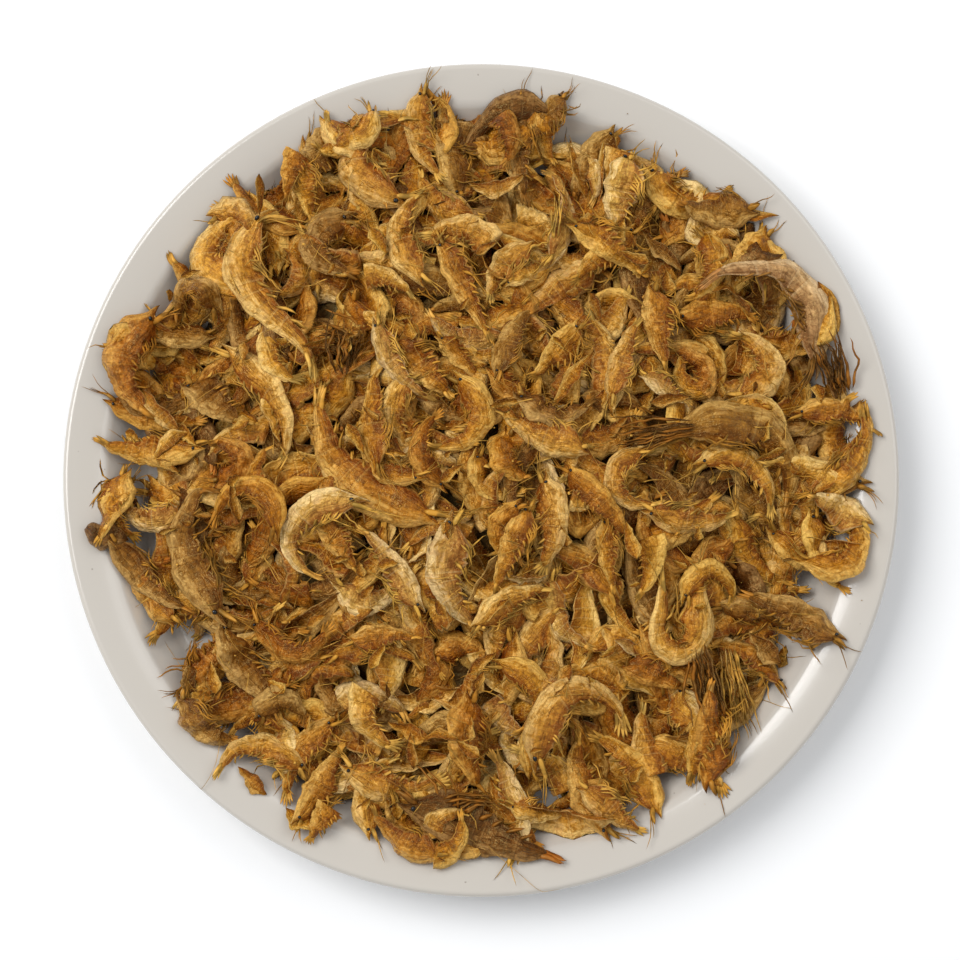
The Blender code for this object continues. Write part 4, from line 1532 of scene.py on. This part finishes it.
@dataclass(frozen=True)
class Litter:
    """What lies loose over the heap: feelers, shell flakes and crumbs."""

    ground: Ground
    hair_count: int = 60
    straw_count: int = 240
    hair_steps: int = 12
    flake_count: int = 180
    crumb_count: int = 260
    reach: float = 96 * MM
    hair_lengths: Span = (14 * MM, 34 * MM)
    straw_lengths: Span = (4 * MM, 13 * MM)
    hair_bend: float = 0.13
    straw_bend: float = 0.06
    hair_widths: Span = (0.06, 0.11)
    straw_widths: Span = (0.12, 0.24)
    hair_lift: float = 0.3 * MM
    straw_lift: float = 0.1 * MM
    tip_width: float = 0.05 * MM
    top_margin: float = 0.4 * MM
    flake_sizes: Span = (0.6 * MM, 2.0 * MM)
    flake_stretches: Span = (0.35, 0.8)
    flake_tilts: Span = (0.5, 0.4)
    flake_lift: float = 0.2 * MM
    rim_every: int = 14
    rim_inset: float = 4 * MM
    rim_sizes: Span = (0.10 * MM, 0.22 * MM)
    crumb_sizes: Span = (0.15 * MM, 0.45 * MM)
    seed: int = 301

    @staticmethod
    def spot(rng: np.random.Generator, reach: float) -> Triple:
        """A random place in a disc and a random heading there.

        Args:
            rng: Gives the draws.
            reach: The disc's radius.

        Returns:
            The place's x and y, and the heading in radians.
        """
        radius = reach * math.sqrt(rng.random())
        angle = rng.uniform(0, math.tau)
        return radius * math.cos(angle), radius * math.sin(angle), rng.uniform(0, math.tau)

    def hairs(self) -> bpy.types.Object:
        """Long broken feelers that drape over the heap.

        Returns:
            The piece.
        """
        rng = np.random.default_rng(self.seed)
        mesh = bmesh.new()
        mesh.loops.layers.uv.new("shell")
        steps = np.arange(self.hair_steps)
        for index in range(self.hair_count + self.straw_count):
            if index < self.hair_count:
                lengths, most, widths = self.hair_lengths, self.hair_bend, self.hair_widths
                lift = self.hair_lift
            else:
                lengths, most, widths = self.straw_lengths, self.straw_bend, self.straw_widths
                lift = self.straw_lift
            x, y, heading = self.spot(rng, self.reach)
            pace = rng.uniform(*lengths) / self.hair_steps
            bend = rng.uniform(-most, most)
            turns = heading + bend * steps + 0.1 * np.sin(steps * rng.uniform(0.4, 1))
            xs = x + np.cumsum(np.cos(turns)) * pace
            ys = y + np.cumsum(np.sin(turns)) * pace
            high = self.ground.height[self.ground.cell(xs, ys)]
            soft = running_mean(high, 2)
            zs = (np.maximum(soft, high) + soft) / 2 + lift
            line = kept_on_plate(np.column_stack((xs, ys, zs)), self.top_margin)
            Strand(tuple(map(tuple, line)), thick=rng.uniform(*widths) * MM, tip=self.tip_width,
                   slot=0, steps=self.hair_steps, turns=3).add_to(mesh)
        bmesh.ops.recalc_face_normals(mesh, faces=mesh.faces)
        return finish_mesh("loose_feelers", mesh)

    def flakes(self) -> bpy.types.Object:
        """Small curved scraps of shell that lie in the gaps.

        Returns:
            The piece.
        """
        rng = np.random.default_rng(self.seed + 1)
        mould = Mould(Leaf(seed=51, steps=8, turns=8).build("flake"), 8.0)
        mesh = bmesh.new()
        for _ in range(self.flake_count):
            x, y, heading = self.spot(rng, self.reach)
            half = rng.uniform(*self.flake_sizes)
            tilts = [rng.normal(0, spread) for spread in self.flake_tilts]
            turn = Euler((*tilts, heading)).to_matrix()
            stretch = np.array((rng.uniform(*self.flake_stretches), 1.0, 1.0))
            points = (mould.points * stretch * half) @ np.array(turn).T
            placed = kept_on_plate(points + (x, y, self.ground.under(x, y) + self.flake_lift))
            mould.add_to(mesh, placed, rng.random())
        return finish_mesh("shell_flakes", mesh)

    def crumbs(self) -> bpy.types.Object:
        """Specks of shell over the heap, and a few on the plate's rim.

        Returns:
            The piece.
        """
        rng = np.random.default_rng(self.seed + 2)
        mesh = bmesh.new()
        for index in range(self.crumb_count):
            on_rim = index % self.rim_every == 0
            x, y, _ = self.spot(rng, PLATE.radius - self.rim_inset if on_rim else self.reach)
            size = rng.uniform(*(self.rim_sizes if on_rim else self.crumb_sizes))
            z = self.ground.under(x, y)
            grain = bmesh.ops.create_icosphere(mesh, subdivisions=1, radius=size)["verts"]
            bmesh.ops.scale(mesh, verts=grain, vec=rng.uniform(0.5, 1.4, 3))
            for vert in grain:
                vert.co *= rng.uniform(0.8, 1.2)
            bmesh.ops.translate(mesh, verts=grain, vec=(x, y, z + size * 0.3))
            for vert in grain:
                vert.co = kept_on_plate(np.array([vert.co]))[0]
        return finish_mesh("crumbs", mesh)

    def dress(self, paint: "Paint") -> None:
        """Build what lies loose and give it its materials.

        Args:
            paint: Makes the materials.
        """
        straw = paint.limb("feeler_straw", FEELER_COLOUR)
        for piece, made in ((self.hairs(), straw), (self.flakes(), paint.tone(Tone.GOLDEN)[0]),
                            (self.crumbs(), straw)):
            add_piece(piece, "shrimp_heap", [made])


@dataclass(frozen=True)
class Core:
    """The mound inside the heap, seen only deep in the gaps; it stands in for shrimps deep in the heap,
    and its near-black brown is painted shade.
    """

    top_share: float = 0.72
    sink: float = 8.0 * MM
    reach_share: float = 0.9
    least_height: float = 0.5 * MM
    rings: int = 50
    segments: int = 96

    def place(self, s: Array, t: Array) -> Array:
        """Points from the middle of the top, round the edge, to the middle below.

        Args:
            s: Shares of the way from middle to middle.
            t: Shares of the way round.

        Returns:
            One point a row.
        """
        angle = math.tau * t
        on_top = s < self.top_share
        out = np.where(on_top, s / self.top_share, (1 - s) / (1 - self.top_share))
        radius = HEAP.core_reach(angle) * self.reach_share * out
        x, y = radius * np.cos(angle), radius * np.sin(angle)
        under = PLATE.top(radius) + HEAP.plate_gap
        above = np.maximum(HEAP.core_height(x, y) - self.sink, under + self.least_height)
        return np.column_stack((x, y, np.where(on_top, above, under)))

    def dress(self, paint: "Paint") -> None:
        """Build the mound and give it its material, a near-black brown that is painted shade.

        Args:
            paint: Makes the material.
        """
        mesh = new_shell_mesh()
        mapped_grid(mesh, self.rings, self.segments, self.place)
        bmesh.ops.recalc_face_normals(mesh, faces=mesh.faces)
        # The core's near-black brown is painted shade for the heap's deep gaps.
        made = paint.shell("core_painted_shade", CORE_SHADE_FINISH)
        add_piece(finish_mesh("heap_core", mesh), "shrimp_heap", [made])


Colour = Triple
FEELER_COLOUR = (0.55, 0.29, 0.05)


@dataclass(frozen=True)
class ShellFinish:
    """The colours of one tone of dried shell, from back to belly, with its limbs and tail."""

    back: Colour
    flank: Colour
    belly: Colour
    limb: Colour
    tail: Colour
    gloss: float = 0.22
    wrinkle_height: float = 0.7 * MM
    shine: float = 0.65
    shine_tint: Colour = (1.0, 0.75, 0.28)


SHELL_FINISHES = {
    Tone.GOLDEN: ShellFinish((0.63, 0.355, 0.079), (0.47, 0.182, 0.012), (0.20, 0.043, 0.004),
                             (0.46, 0.212, 0.025), (0.52, 0.245, 0.033)),
    Tone.STRAW: ShellFinish((0.69, 0.430, 0.134), (0.55, 0.245, 0.027), (0.26, 0.066, 0.006),
                            (0.53, 0.275, 0.045), (0.58, 0.320, 0.060)),
    Tone.AMBER: ShellFinish((0.54, 0.258, 0.043), (0.37, 0.117, 0.006), (0.15, 0.028, 0.002),
                            (0.38, 0.150, 0.014), (0.45, 0.180, 0.020)),
    Tone.BROWN: ShellFinish((0.45, 0.251, 0.070), (0.26, 0.102, 0.012), (0.11, 0.025, 0.002),
                            (0.36, 0.153, 0.017), (0.34, 0.126, 0.013)),
    Tone.DARK: ShellFinish((0.30, 0.149, 0.043), (0.15, 0.049, 0.006), (0.06, 0.012, 0.002),
                           (0.24, 0.081, 0.008), (0.36, 0.108, 0.013)),
    Tone.BONE: ShellFinish((0.73, 0.505, 0.216), (0.57, 0.302, 0.058), (0.30, 0.093, 0.013),
                           (0.60, 0.324, 0.052), (0.60, 0.297, 0.052)),
    Tone.ROSE: ShellFinish((0.62, 0.419, 0.216), (0.46, 0.255, 0.105), (0.22, 0.084, 0.027),
                           (0.28, 0.117, 0.019), (0.42, 0.180, 0.052)),
}


@dataclass(frozen=True)
class LimbFinish:
    """How the thin limbs vary by place, and how rough they are."""

    patch_scale: float = 320.0
    patch_step: Span = (0.35, 0.65)
    darkest: float = 0.45
    lightest: float = 1.25
    roughness: float = 0.42
    tail_roughness: float = 0.35


@dataclass(frozen=True)
class GlazeFinish:
    """The plate's glossy warm white glaze, with a faint unevenness and tiny specks."""

    pale: Colour = (0.572, 0.528, 0.466)
    shaded: Colour = (0.536, 0.494, 0.436)
    speck: Colour = (0.20, 0.15, 0.11)
    cloud_scale: float = 14.0
    speck_scale: float = 520.0
    speck_step: Span = (0.79, 0.83)
    speck_share: float = 0.55
    ripple_scale: float = 60.0
    ripple_strength: float = 0.25
    ripple_height: float = 0.2 * MM
    roughness: float = 0.16
    coat: float = 0.4
    coat_roughness: float = 0.06


# Near-black brown, darker than any shrimp tone: painted shade for the heap's deep gaps.
CORE_SHADE_FINISH = ShellFinish((0.16, 0.060, 0.008), (0.08, 0.027, 0.003), (0.03, 0.009, 0.001),
                          (0.08, 0.027, 0.003), (0.08, 0.027, 0.003), gloss=0.5)


class Graph:
    """Short ways to add and join shader nodes in one tree."""

    def __init__(self, tree: bpy.types.NodeTree) -> None:
        """Work in the given tree.

        Args:
            tree: The tree.
        """
        self.tree = tree

    def add(self, kind: str, inputs: dict[int | str, object] | None = None,
            **settings: object) -> bpy.types.Node:
        """Add a node, set its properties, and set or link its inputs.

        Args:
            kind: The node's type.
            inputs: Values or output sockets, by input name or number.
            settings: Properties of the node.

        Returns:
            The node.
        """
        node = self.tree.nodes.new(kind)
        for name, value in settings.items():
            setattr(node, name, value)
        self.join(node, inputs or {})
        return node

    def join(self, node: bpy.types.Node, inputs: dict[int | str, object]) -> None:
        """Set or link inputs of a node.

        Args:
            node: The node.
            inputs: Values or output sockets, by input name or number.
        """
        for key, value in inputs.items():
            if isinstance(value, bpy.types.NodeSocket):
                self.tree.links.new(value, node.inputs[key])
            else:
                node.inputs[key].default_value = value

    def math(self, operation: str, *values: object) -> bpy.types.NodeSocket:
        """The result of one operation on sockets or numbers.

        Args:
            operation: Its name.
            values: The sockets or numbers.

        Returns:
            The socket of the result.
        """
        return self.add("ShaderNodeMath", dict(enumerate(values)), operation=operation).outputs[0]

    def times(self, first: object, *others: object) -> bpy.types.NodeSocket:
        """The product of sockets or numbers.

        Args:
            first: The first of them.
            others: The others.

        Returns:
            The socket of the product.
        """
        for other in others:
            first = self.math("MULTIPLY", first, other)
        return first

    def plus(self, first: object, *others: object) -> bpy.types.NodeSocket:
        """The sum of sockets or numbers.

        Args:
            first: The first of them.
            others: The others.

        Returns:
            The socket of the sum.
        """
        for other in others:
            first = self.math("ADD", first, other)
        return first

    def mix(self, share: object, first: object, second: object) -> bpy.types.NodeSocket:
        """A mix of two colours.

        Args:
            share: The share of the second.
            first: The first colour.
            second: The second colour.

        Returns:
            The socket of the mix.
        """
        return self.add("ShaderNodeMix", {0: share, 6: first, 7: second}, data_type="RGBA").outputs[2]

    def ramp(self, value: object, low: float, high: float) -> bpy.types.NodeSocket:
        """A smooth step from 0 to 1 between two values.

        Args:
            value: What is stepped.
            low: Where the step starts.
            high: Where it ends.

        Returns:
            The socket of the step.
        """
        node = self.add("ShaderNodeMapRange", {0: value, 1: low, 2: high}, interpolation_type="SMOOTHSTEP")
        return node.outputs[0]

    def noise(self, vector: object, scale: float, detail: float = 2.0,
              distortion: float = 0.0) -> bpy.types.NodeSocket:
        """The value of a noise texture.

        Args:
            vector: Its place in space.
            scale: How fine it is.
            detail: How many finer layers it has.
            distortion: How far it is bent.

        Returns:
            The socket of the value.
        """
        return self.add("ShaderNodeTexNoise", {
            "Vector": vector, "Scale": scale, "Detail": detail, "Distortion": distortion}).outputs["Fac"]


@dataclass(frozen=True)
class ShellPattern:
    """How dried shell is coloured from back to belly, with bands, blotches and wrinkles.

    A noise is its scale, detail and distortion. A step is where a smooth rise begins and ends. The
    level runs from -1 at the belly's edge to 1 at the back's, moved about by streaks and blotches.
    """

    streak_stretch: Span = (6.0, 2.6)
    fibre_stretch: Span = (62.0, 2.4)
    tint_shift: float = 40.0
    streak_noise: Triple = (1.3, 3.0, 1.2)
    fibre_noise: Triple = (1.0, 2.0, 0.6)
    blotch_noise: Triple = (420.0, 3.0, 0.5)
    grain_noise: Triple = (1300.0, 2.0, 0.8)
    wander: float = 1.9
    flank_step: Span = (-1.05, 0.15)
    back_step: Span = (0.1, 1.0)
    fibre_step: Span = (0.38, 0.62)
    fibre_zone: Span = (0.45, -0.25)
    fibre_share: float = 0.45
    rust_step: Span = (0.53, 0.66)
    rust_share: float = 0.35
    abdomen: Span = (0.34, 0.88)
    segments: int = 6
    band_step: Span = (0.78, 0.95)
    band_share: float = 0.32
    margin_step: Span = (0.84, 0.98)
    margin_share: float = 0.5
    seam_step: Span = (0.10, 0.01)
    seam_share: float = 0.4
    least_light: float = 0.48
    streak_light: float = 0.28
    grain_light: float = 0.26
    tint_light: float = 0.26
    blotch_light: float = 0.22
    wide_step: Span = (0.36, 0.64)
    grain_step: Span = (0.40, 0.62)
    hue_from: float = 0.496
    hue_span: float = 0.008
    rough_span: float = 0.6
    streak_height: float = 0.9
    grain_height: float = 0.35
    fibre_height: float = -0.25
    blotch_height: float = 0.5

    def group(self) -> bpy.types.NodeTree:
        """Make the node group: three colours and a gloss in, colour, roughness and height out.

        Returns:
            The node group.
        """
        group = bpy.data.node_groups.new("shell_pattern", "ShaderNodeTree")
        for name, in_out, kind in (("Back", "INPUT", "Color"), ("Flank", "INPUT", "Color"),
                                   ("Belly", "INPUT", "Color"), ("Gloss", "INPUT", "Float"),
                                   ("Color", "OUTPUT", "Color"), ("Roughness", "OUTPUT", "Float"),
                                   ("Height", "OUTPUT", "Float")):
            group.interface.new_socket(name, in_out=in_out, socket_type=f"NodeSocket{kind}")
        g = Graph(group)
        given = g.add("NodeGroupInput").outputs
        shell_uv = g.add("ShaderNodeUVMap", uv_map="shell").outputs[0]
        along, round_it, _ = g.add("ShaderNodeSeparateXYZ", {0: shell_uv}).outputs
        place = g.add("ShaderNodeTexCoord").outputs["Object"]
        tint = g.add("ShaderNodeAttribute", attribute_name="tint").outputs["Fac"]
        up = g.math("COSINE", g.times(round_it, math.tau))
        streak, fibre_raw = (
            g.noise(g.add("ShaderNodeCombineXYZ", {
                0: g.times(along, long_way), 1: g.times(up, cross_way),
                2: g.times(tint, self.tint_shift)}).outputs[0], *noise)
            for (long_way, cross_way), noise in ((self.streak_stretch, self.streak_noise),
                                                 (self.fibre_stretch, self.fibre_noise)))
        blotch = g.noise(place, *self.blotch_noise)
        grain = g.noise(place, *self.grain_noise)
        level = g.plus(up, g.times(g.math("SUBTRACT", g.plus(streak, blotch), 1.0), self.wander))
        colour = g.mix(g.ramp(level, *self.flank_step), given["Belly"], given["Flank"])
        colour = g.mix(g.ramp(level, *self.back_step), colour, given["Back"])
        dark_fibre = g.times(g.ramp(fibre_raw, *self.fibre_step), g.ramp(level, *self.fibre_zone),
                             self.fibre_share)
        colour = g.mix(dark_fibre, colour, given["Belly"])
        colour = g.mix(g.times(g.ramp(blotch, *self.rust_step), self.rust_share), colour, given["Belly"])
        colour = self.joints(g, colour, given, along, up)
        light = g.plus(g.times(g.ramp(streak, *self.wide_step), self.streak_light),
                       g.times(g.ramp(grain, *self.grain_step), self.grain_light),
                       g.times(tint, self.tint_light),
                       g.times(g.ramp(blotch, *self.wide_step), self.blotch_light))
        colour = g.add("ShaderNodeHueSaturation", {
            "Hue": g.plus(self.hue_from, g.times(tint, self.hue_span)),
            "Value": g.plus(self.least_light, light), "Color": colour}).outputs[0]
        rough = g.plus(given["Gloss"], g.times(g.math("SUBTRACT", blotch, 0.5), self.rough_span))
        height = g.plus(g.times(streak, self.streak_height), g.times(grain, self.grain_height),
                        g.times(dark_fibre, self.fibre_height), g.times(blotch, self.blotch_height))
        g.add("NodeGroupOutput", {"Color": colour, "Roughness": rough, "Height": height})
        return group

    def joints(self, g: Graph, colour: object, given: bpy.types.bpy_prop_collection, along: object,
               up: object) -> bpy.types.NodeSocket:
        """Add the pale margins of back, belly and segments, and the dark seams between them.

        Args:
            g: The group's graph.
            colour: The colour so far.
            given: The group's own colours.
            along: Share of the length, from the head.
            up: 1 at the back and -1 at the belly.

        Returns:
            The colour with its joints.
        """
        first, last = self.abdomen
        local = g.times(g.math("SUBTRACT", along, first), self.segments / (last - first))
        part = g.math("FRACT", local)
        on_abdomen = g.times(g.ramp(local, 0.0, 0.1), g.ramp(local, self.segments, self.segments - 0.4))
        band = g.times(g.ramp(part, *self.band_step), on_abdomen, self.band_share)
        margin = g.times(g.ramp(g.math("ABSOLUTE", up), *self.margin_step), self.margin_share)
        colour = g.mix(g.math("MAXIMUM", band, margin), colour, given["Back"])
        seam = g.times(g.ramp(part, *self.seam_step), on_abdomen, self.seam_share)
        return g.mix(seam, colour, given["Belly"])


def new_material(name: str) -> tuple[bpy.types.Material, Graph, bpy.types.Node]:
    """A material with only a shader and its output.

    Args:
        name: The material's name.

    Returns:
        The material, its graph and its shader.
    """
    made = bpy.data.materials.new(name)
    made.use_nodes = True
    made.node_tree.nodes.clear()
    g = Graph(made.node_tree)
    shader = g.add("ShaderNodeBsdfPrincipled")
    g.add("ShaderNodeOutputMaterial", {"Surface": shader.outputs[0]})
    return made, g, shader


def four(colour: Colour) -> tuple[float, float, float, float]:
    """A colour with full alpha.

    Args:
        colour: The colour.

    Returns:
        The colour and 1.
    """
    return (*colour, 1.0)


class Paint:
    """Every material of the scene."""

    def __init__(self) -> None:
        """Make the shared pattern and the eyes' material."""
        self.pattern = ShellPattern().group()
        self.limbs = LimbFinish()
        self.eye = self.plain("eye", (0.004, 0.003, 0.003), 0.22)
        self.tones: dict[Tone, list[bpy.types.Material]] = {}

    def tone(self, tone: Tone) -> list[bpy.types.Material]:
        """The materials of one tone: shell, limb, eye and tail.

        Args:
            tone: The tone, whose materials are made when first asked for.

        Returns:
            The materials in slot order.
        """
        if tone not in self.tones:
            finish = SHELL_FINISHES[tone]
            name = tone.name.lower()
            self.tones[tone] = [
                self.shell(f"{name}_shell", finish), self.limb(f"{name}_limb", finish.limb), self.eye,
                self.limb(f"{name}_tail", finish.tail, self.limbs.tail_roughness)]
        return self.tones[tone]

    def shell(self, name: str, finish: ShellFinish) -> bpy.types.Material:
        """Dried shell: waxy, wrinkled, mottled.

        Args:
            name: The material's name.
            finish: Its colours.

        Returns:
            The material.
        """
        made, g, shader = new_material(name)
        group = g.add("ShaderNodeGroup", node_tree=self.pattern)
        for key, colour in (("Back", finish.back), ("Flank", finish.flank), ("Belly", finish.belly)):
            group.inputs[key].default_value = four(colour)
        group.inputs["Gloss"].default_value = finish.gloss
        bump = g.add("ShaderNodeBump", {"Height": group.outputs["Height"], "Strength": 1.0,
                                        "Distance": finish.wrinkle_height})
        g.join(shader, {"Base Color": group.outputs["Color"], "Roughness": group.outputs["Roughness"],
                        "Normal": bump.outputs[0]})
        self.warm_shine(g, shader)
        return made

    @staticmethod
    def warm_shine(g: Graph, shader: bpy.types.Node) -> None:
        """Strengthen a shader's reflections a little and give them a golden tint.

        Args:
            g: The tree's graph.
            shader: The shader.
        """
        g.join(shader, {"Specular IOR Level": ShellFinish.shine,
                        "Specular Tint": four(ShellFinish.shine_tint)})

    def limb(self, name: str, colour: Colour, roughness: float = LimbFinish.roughness
             ) -> bpy.types.Material:
        """Thin straw-like limbs, lighter and darker by place.

        Args:
            name: The material's name.
            colour: Their mean colour.
            roughness: Their roughness.

        Returns:
            The material.
        """
        made, g, shader = new_material(name)
        patch = g.noise(g.add("ShaderNodeTexCoord").outputs["Object"], self.limbs.patch_scale)
        dark = tuple(self.limbs.darkest * part for part in colour)
        light = tuple(min(1.0, self.limbs.lightest * part) for part in colour)
        mixed = g.mix(g.ramp(patch, *self.limbs.patch_step), four(dark), four(light))
        g.join(shader, {"Base Color": mixed, "Roughness": roughness})
        self.warm_shine(g, shader)
        return made

    @staticmethod
    def plain(name: str, colour: Colour, roughness: float) -> bpy.types.Material:
        """An even surface.

        Args:
            name: The material's name.
            colour: Its colour.
            roughness: Its roughness.

        Returns:
            The material.
        """
        made, g, shader = new_material(name)
        g.join(shader, {"Base Color": four(colour), "Roughness": roughness})
        return made

    @staticmethod
    def glaze(finish: GlazeFinish = GlazeFinish()) -> bpy.types.Material:
        """The plate's glaze.

        Args:
            finish: Its colours and its gloss.

        Returns:
            The material.
        """
        made, g, shader = new_material("warm_white_glaze")
        place = g.add("ShaderNodeTexCoord").outputs["Object"]
        colour = g.mix(g.noise(place, finish.cloud_scale), four(finish.pale), four(finish.shaded))
        speck = g.ramp(g.noise(place, finish.speck_scale, 1.0), *finish.speck_step)
        colour = g.mix(g.times(speck, finish.speck_share), colour, four(finish.speck))
        ripple = g.add("ShaderNodeBump", {
            "Height": g.noise(place, finish.ripple_scale, 1.0), "Strength": finish.ripple_strength,
            "Distance": finish.ripple_height})
        g.join(shader, {"Base Color": colour, "Normal": ripple.outputs[0],
                        "Roughness": finish.roughness, "Coat Weight": finish.coat,
                        "Coat Roughness": finish.coat_roughness})
        return made


@dataclass(frozen=True)
class Studio:
    """A pale floor, soft light from above, and a camera nearly straight over the plate."""

    camera_at: Triple = (-0.0003, -0.0468, 0.571)
    aim: Triple = (-0.0003, -0.0018, 0.019)
    view_angle: float = 26.2
    world_colour: Colour = (0.93, 0.96, 1.0)
    world_strength: float = 0.5
    key_at: Triple = (-0.8, 0.4, 1.2)
    key_size: float = 0.9
    key_power: float = 17.0
    fill_at: Triple = (0.9, 0.5, 1.2)
    fill_size: float = 1.2
    fill_power: float = 6.0
    floor_colour: Colour = (0.93, 0.93, 0.93)
    floor_roughness: float = 0.9
    floor_size: float = 3.0

    def build(self, paint: Paint) -> None:
        """Add the floor, the lights and the camera.

        Args:
            paint: Makes the floor's material.
        """
        mesh = bmesh.new()
        bmesh.ops.create_grid(mesh, x_segments=1, y_segments=1, size=self.floor_size)
        floor = finish_mesh("floor", mesh)
        floor.data.materials.append(paint.plain("pale_floor", self.floor_colour, self.floor_roughness))
        for name, place, size, power in (("key", self.key_at, self.key_size, self.key_power),
                                         ("fill", self.fill_at, self.fill_size, self.fill_power)):
            lamp = bpy.data.lights.new(name, "AREA")
            lamp.size = size
            lamp.energy = power
            self.stand(name, lamp, place)
        camera = bpy.data.cameras.new("camera")
        camera.angle = math.radians(self.view_angle)
        camera.clip_start = 0.01
        bpy.context.scene.camera = self.stand("camera", camera, self.camera_at)
        world = bpy.data.worlds.new("soft_light")
        world.use_nodes = True
        sky = world.node_tree.nodes["Background"].inputs
        sky[0].default_value = four(self.world_colour)
        sky[1].default_value = self.world_strength
        bpy.context.scene.world = world
        bpy.context.scene.view_settings.view_transform = "Standard"

    def stand(self, name: str, data: bpy.types.ID, place: Triple) -> bpy.types.Object:
        """Put a lamp or the camera in its place, turned to the plate.

        Args:
            name: The object's name.
            data: The lamp or camera.
            place: Where it stands.

        Returns:
            The object.
        """
        obj = bpy.data.objects.new(name, data)
        bpy.context.scene.collection.objects.link(obj)
        obj.location = place
        toward = Vector(self.aim) - Vector(place)
        obj.rotation_euler = toward.to_track_quat("-Z", "Y").to_euler()
        return obj


def add_piece(piece: bpy.types.Object, node: str,
              materials: list[bpy.types.Material]) -> None:
    """Args:
        piece: The visual piece.
        node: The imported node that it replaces.
        materials: Its materials, in slot order.
    """
    for made in materials:
        piece.data.materials.append(made)
    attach(piece, "root")
    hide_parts(node)
    triangles = sum(len(face.vertices) - 2 for face in piece.data.polygons)
    log.info("%s: %d triangles", piece.name, triangles)


def write_sizes() -> None:
    """Bring the view layer up to date."""
    bpy.context.view_layer.update()


def main() -> None:
    """Build the plate and the heap, light them and report each piece."""
    logging.basicConfig(level=logging.INFO, format="%(message)s")
    paint = Paint()
    PLATE.dress(paint)
    heap = ShrimpLayer()
    heap.lay_all()
    heap.dress(paint)
    Litter(heap.ground).dress(paint)
    Core().dress(paint)
    Studio().build(paint)
    write_sizes()


if __name__ == "__main__":
    main()
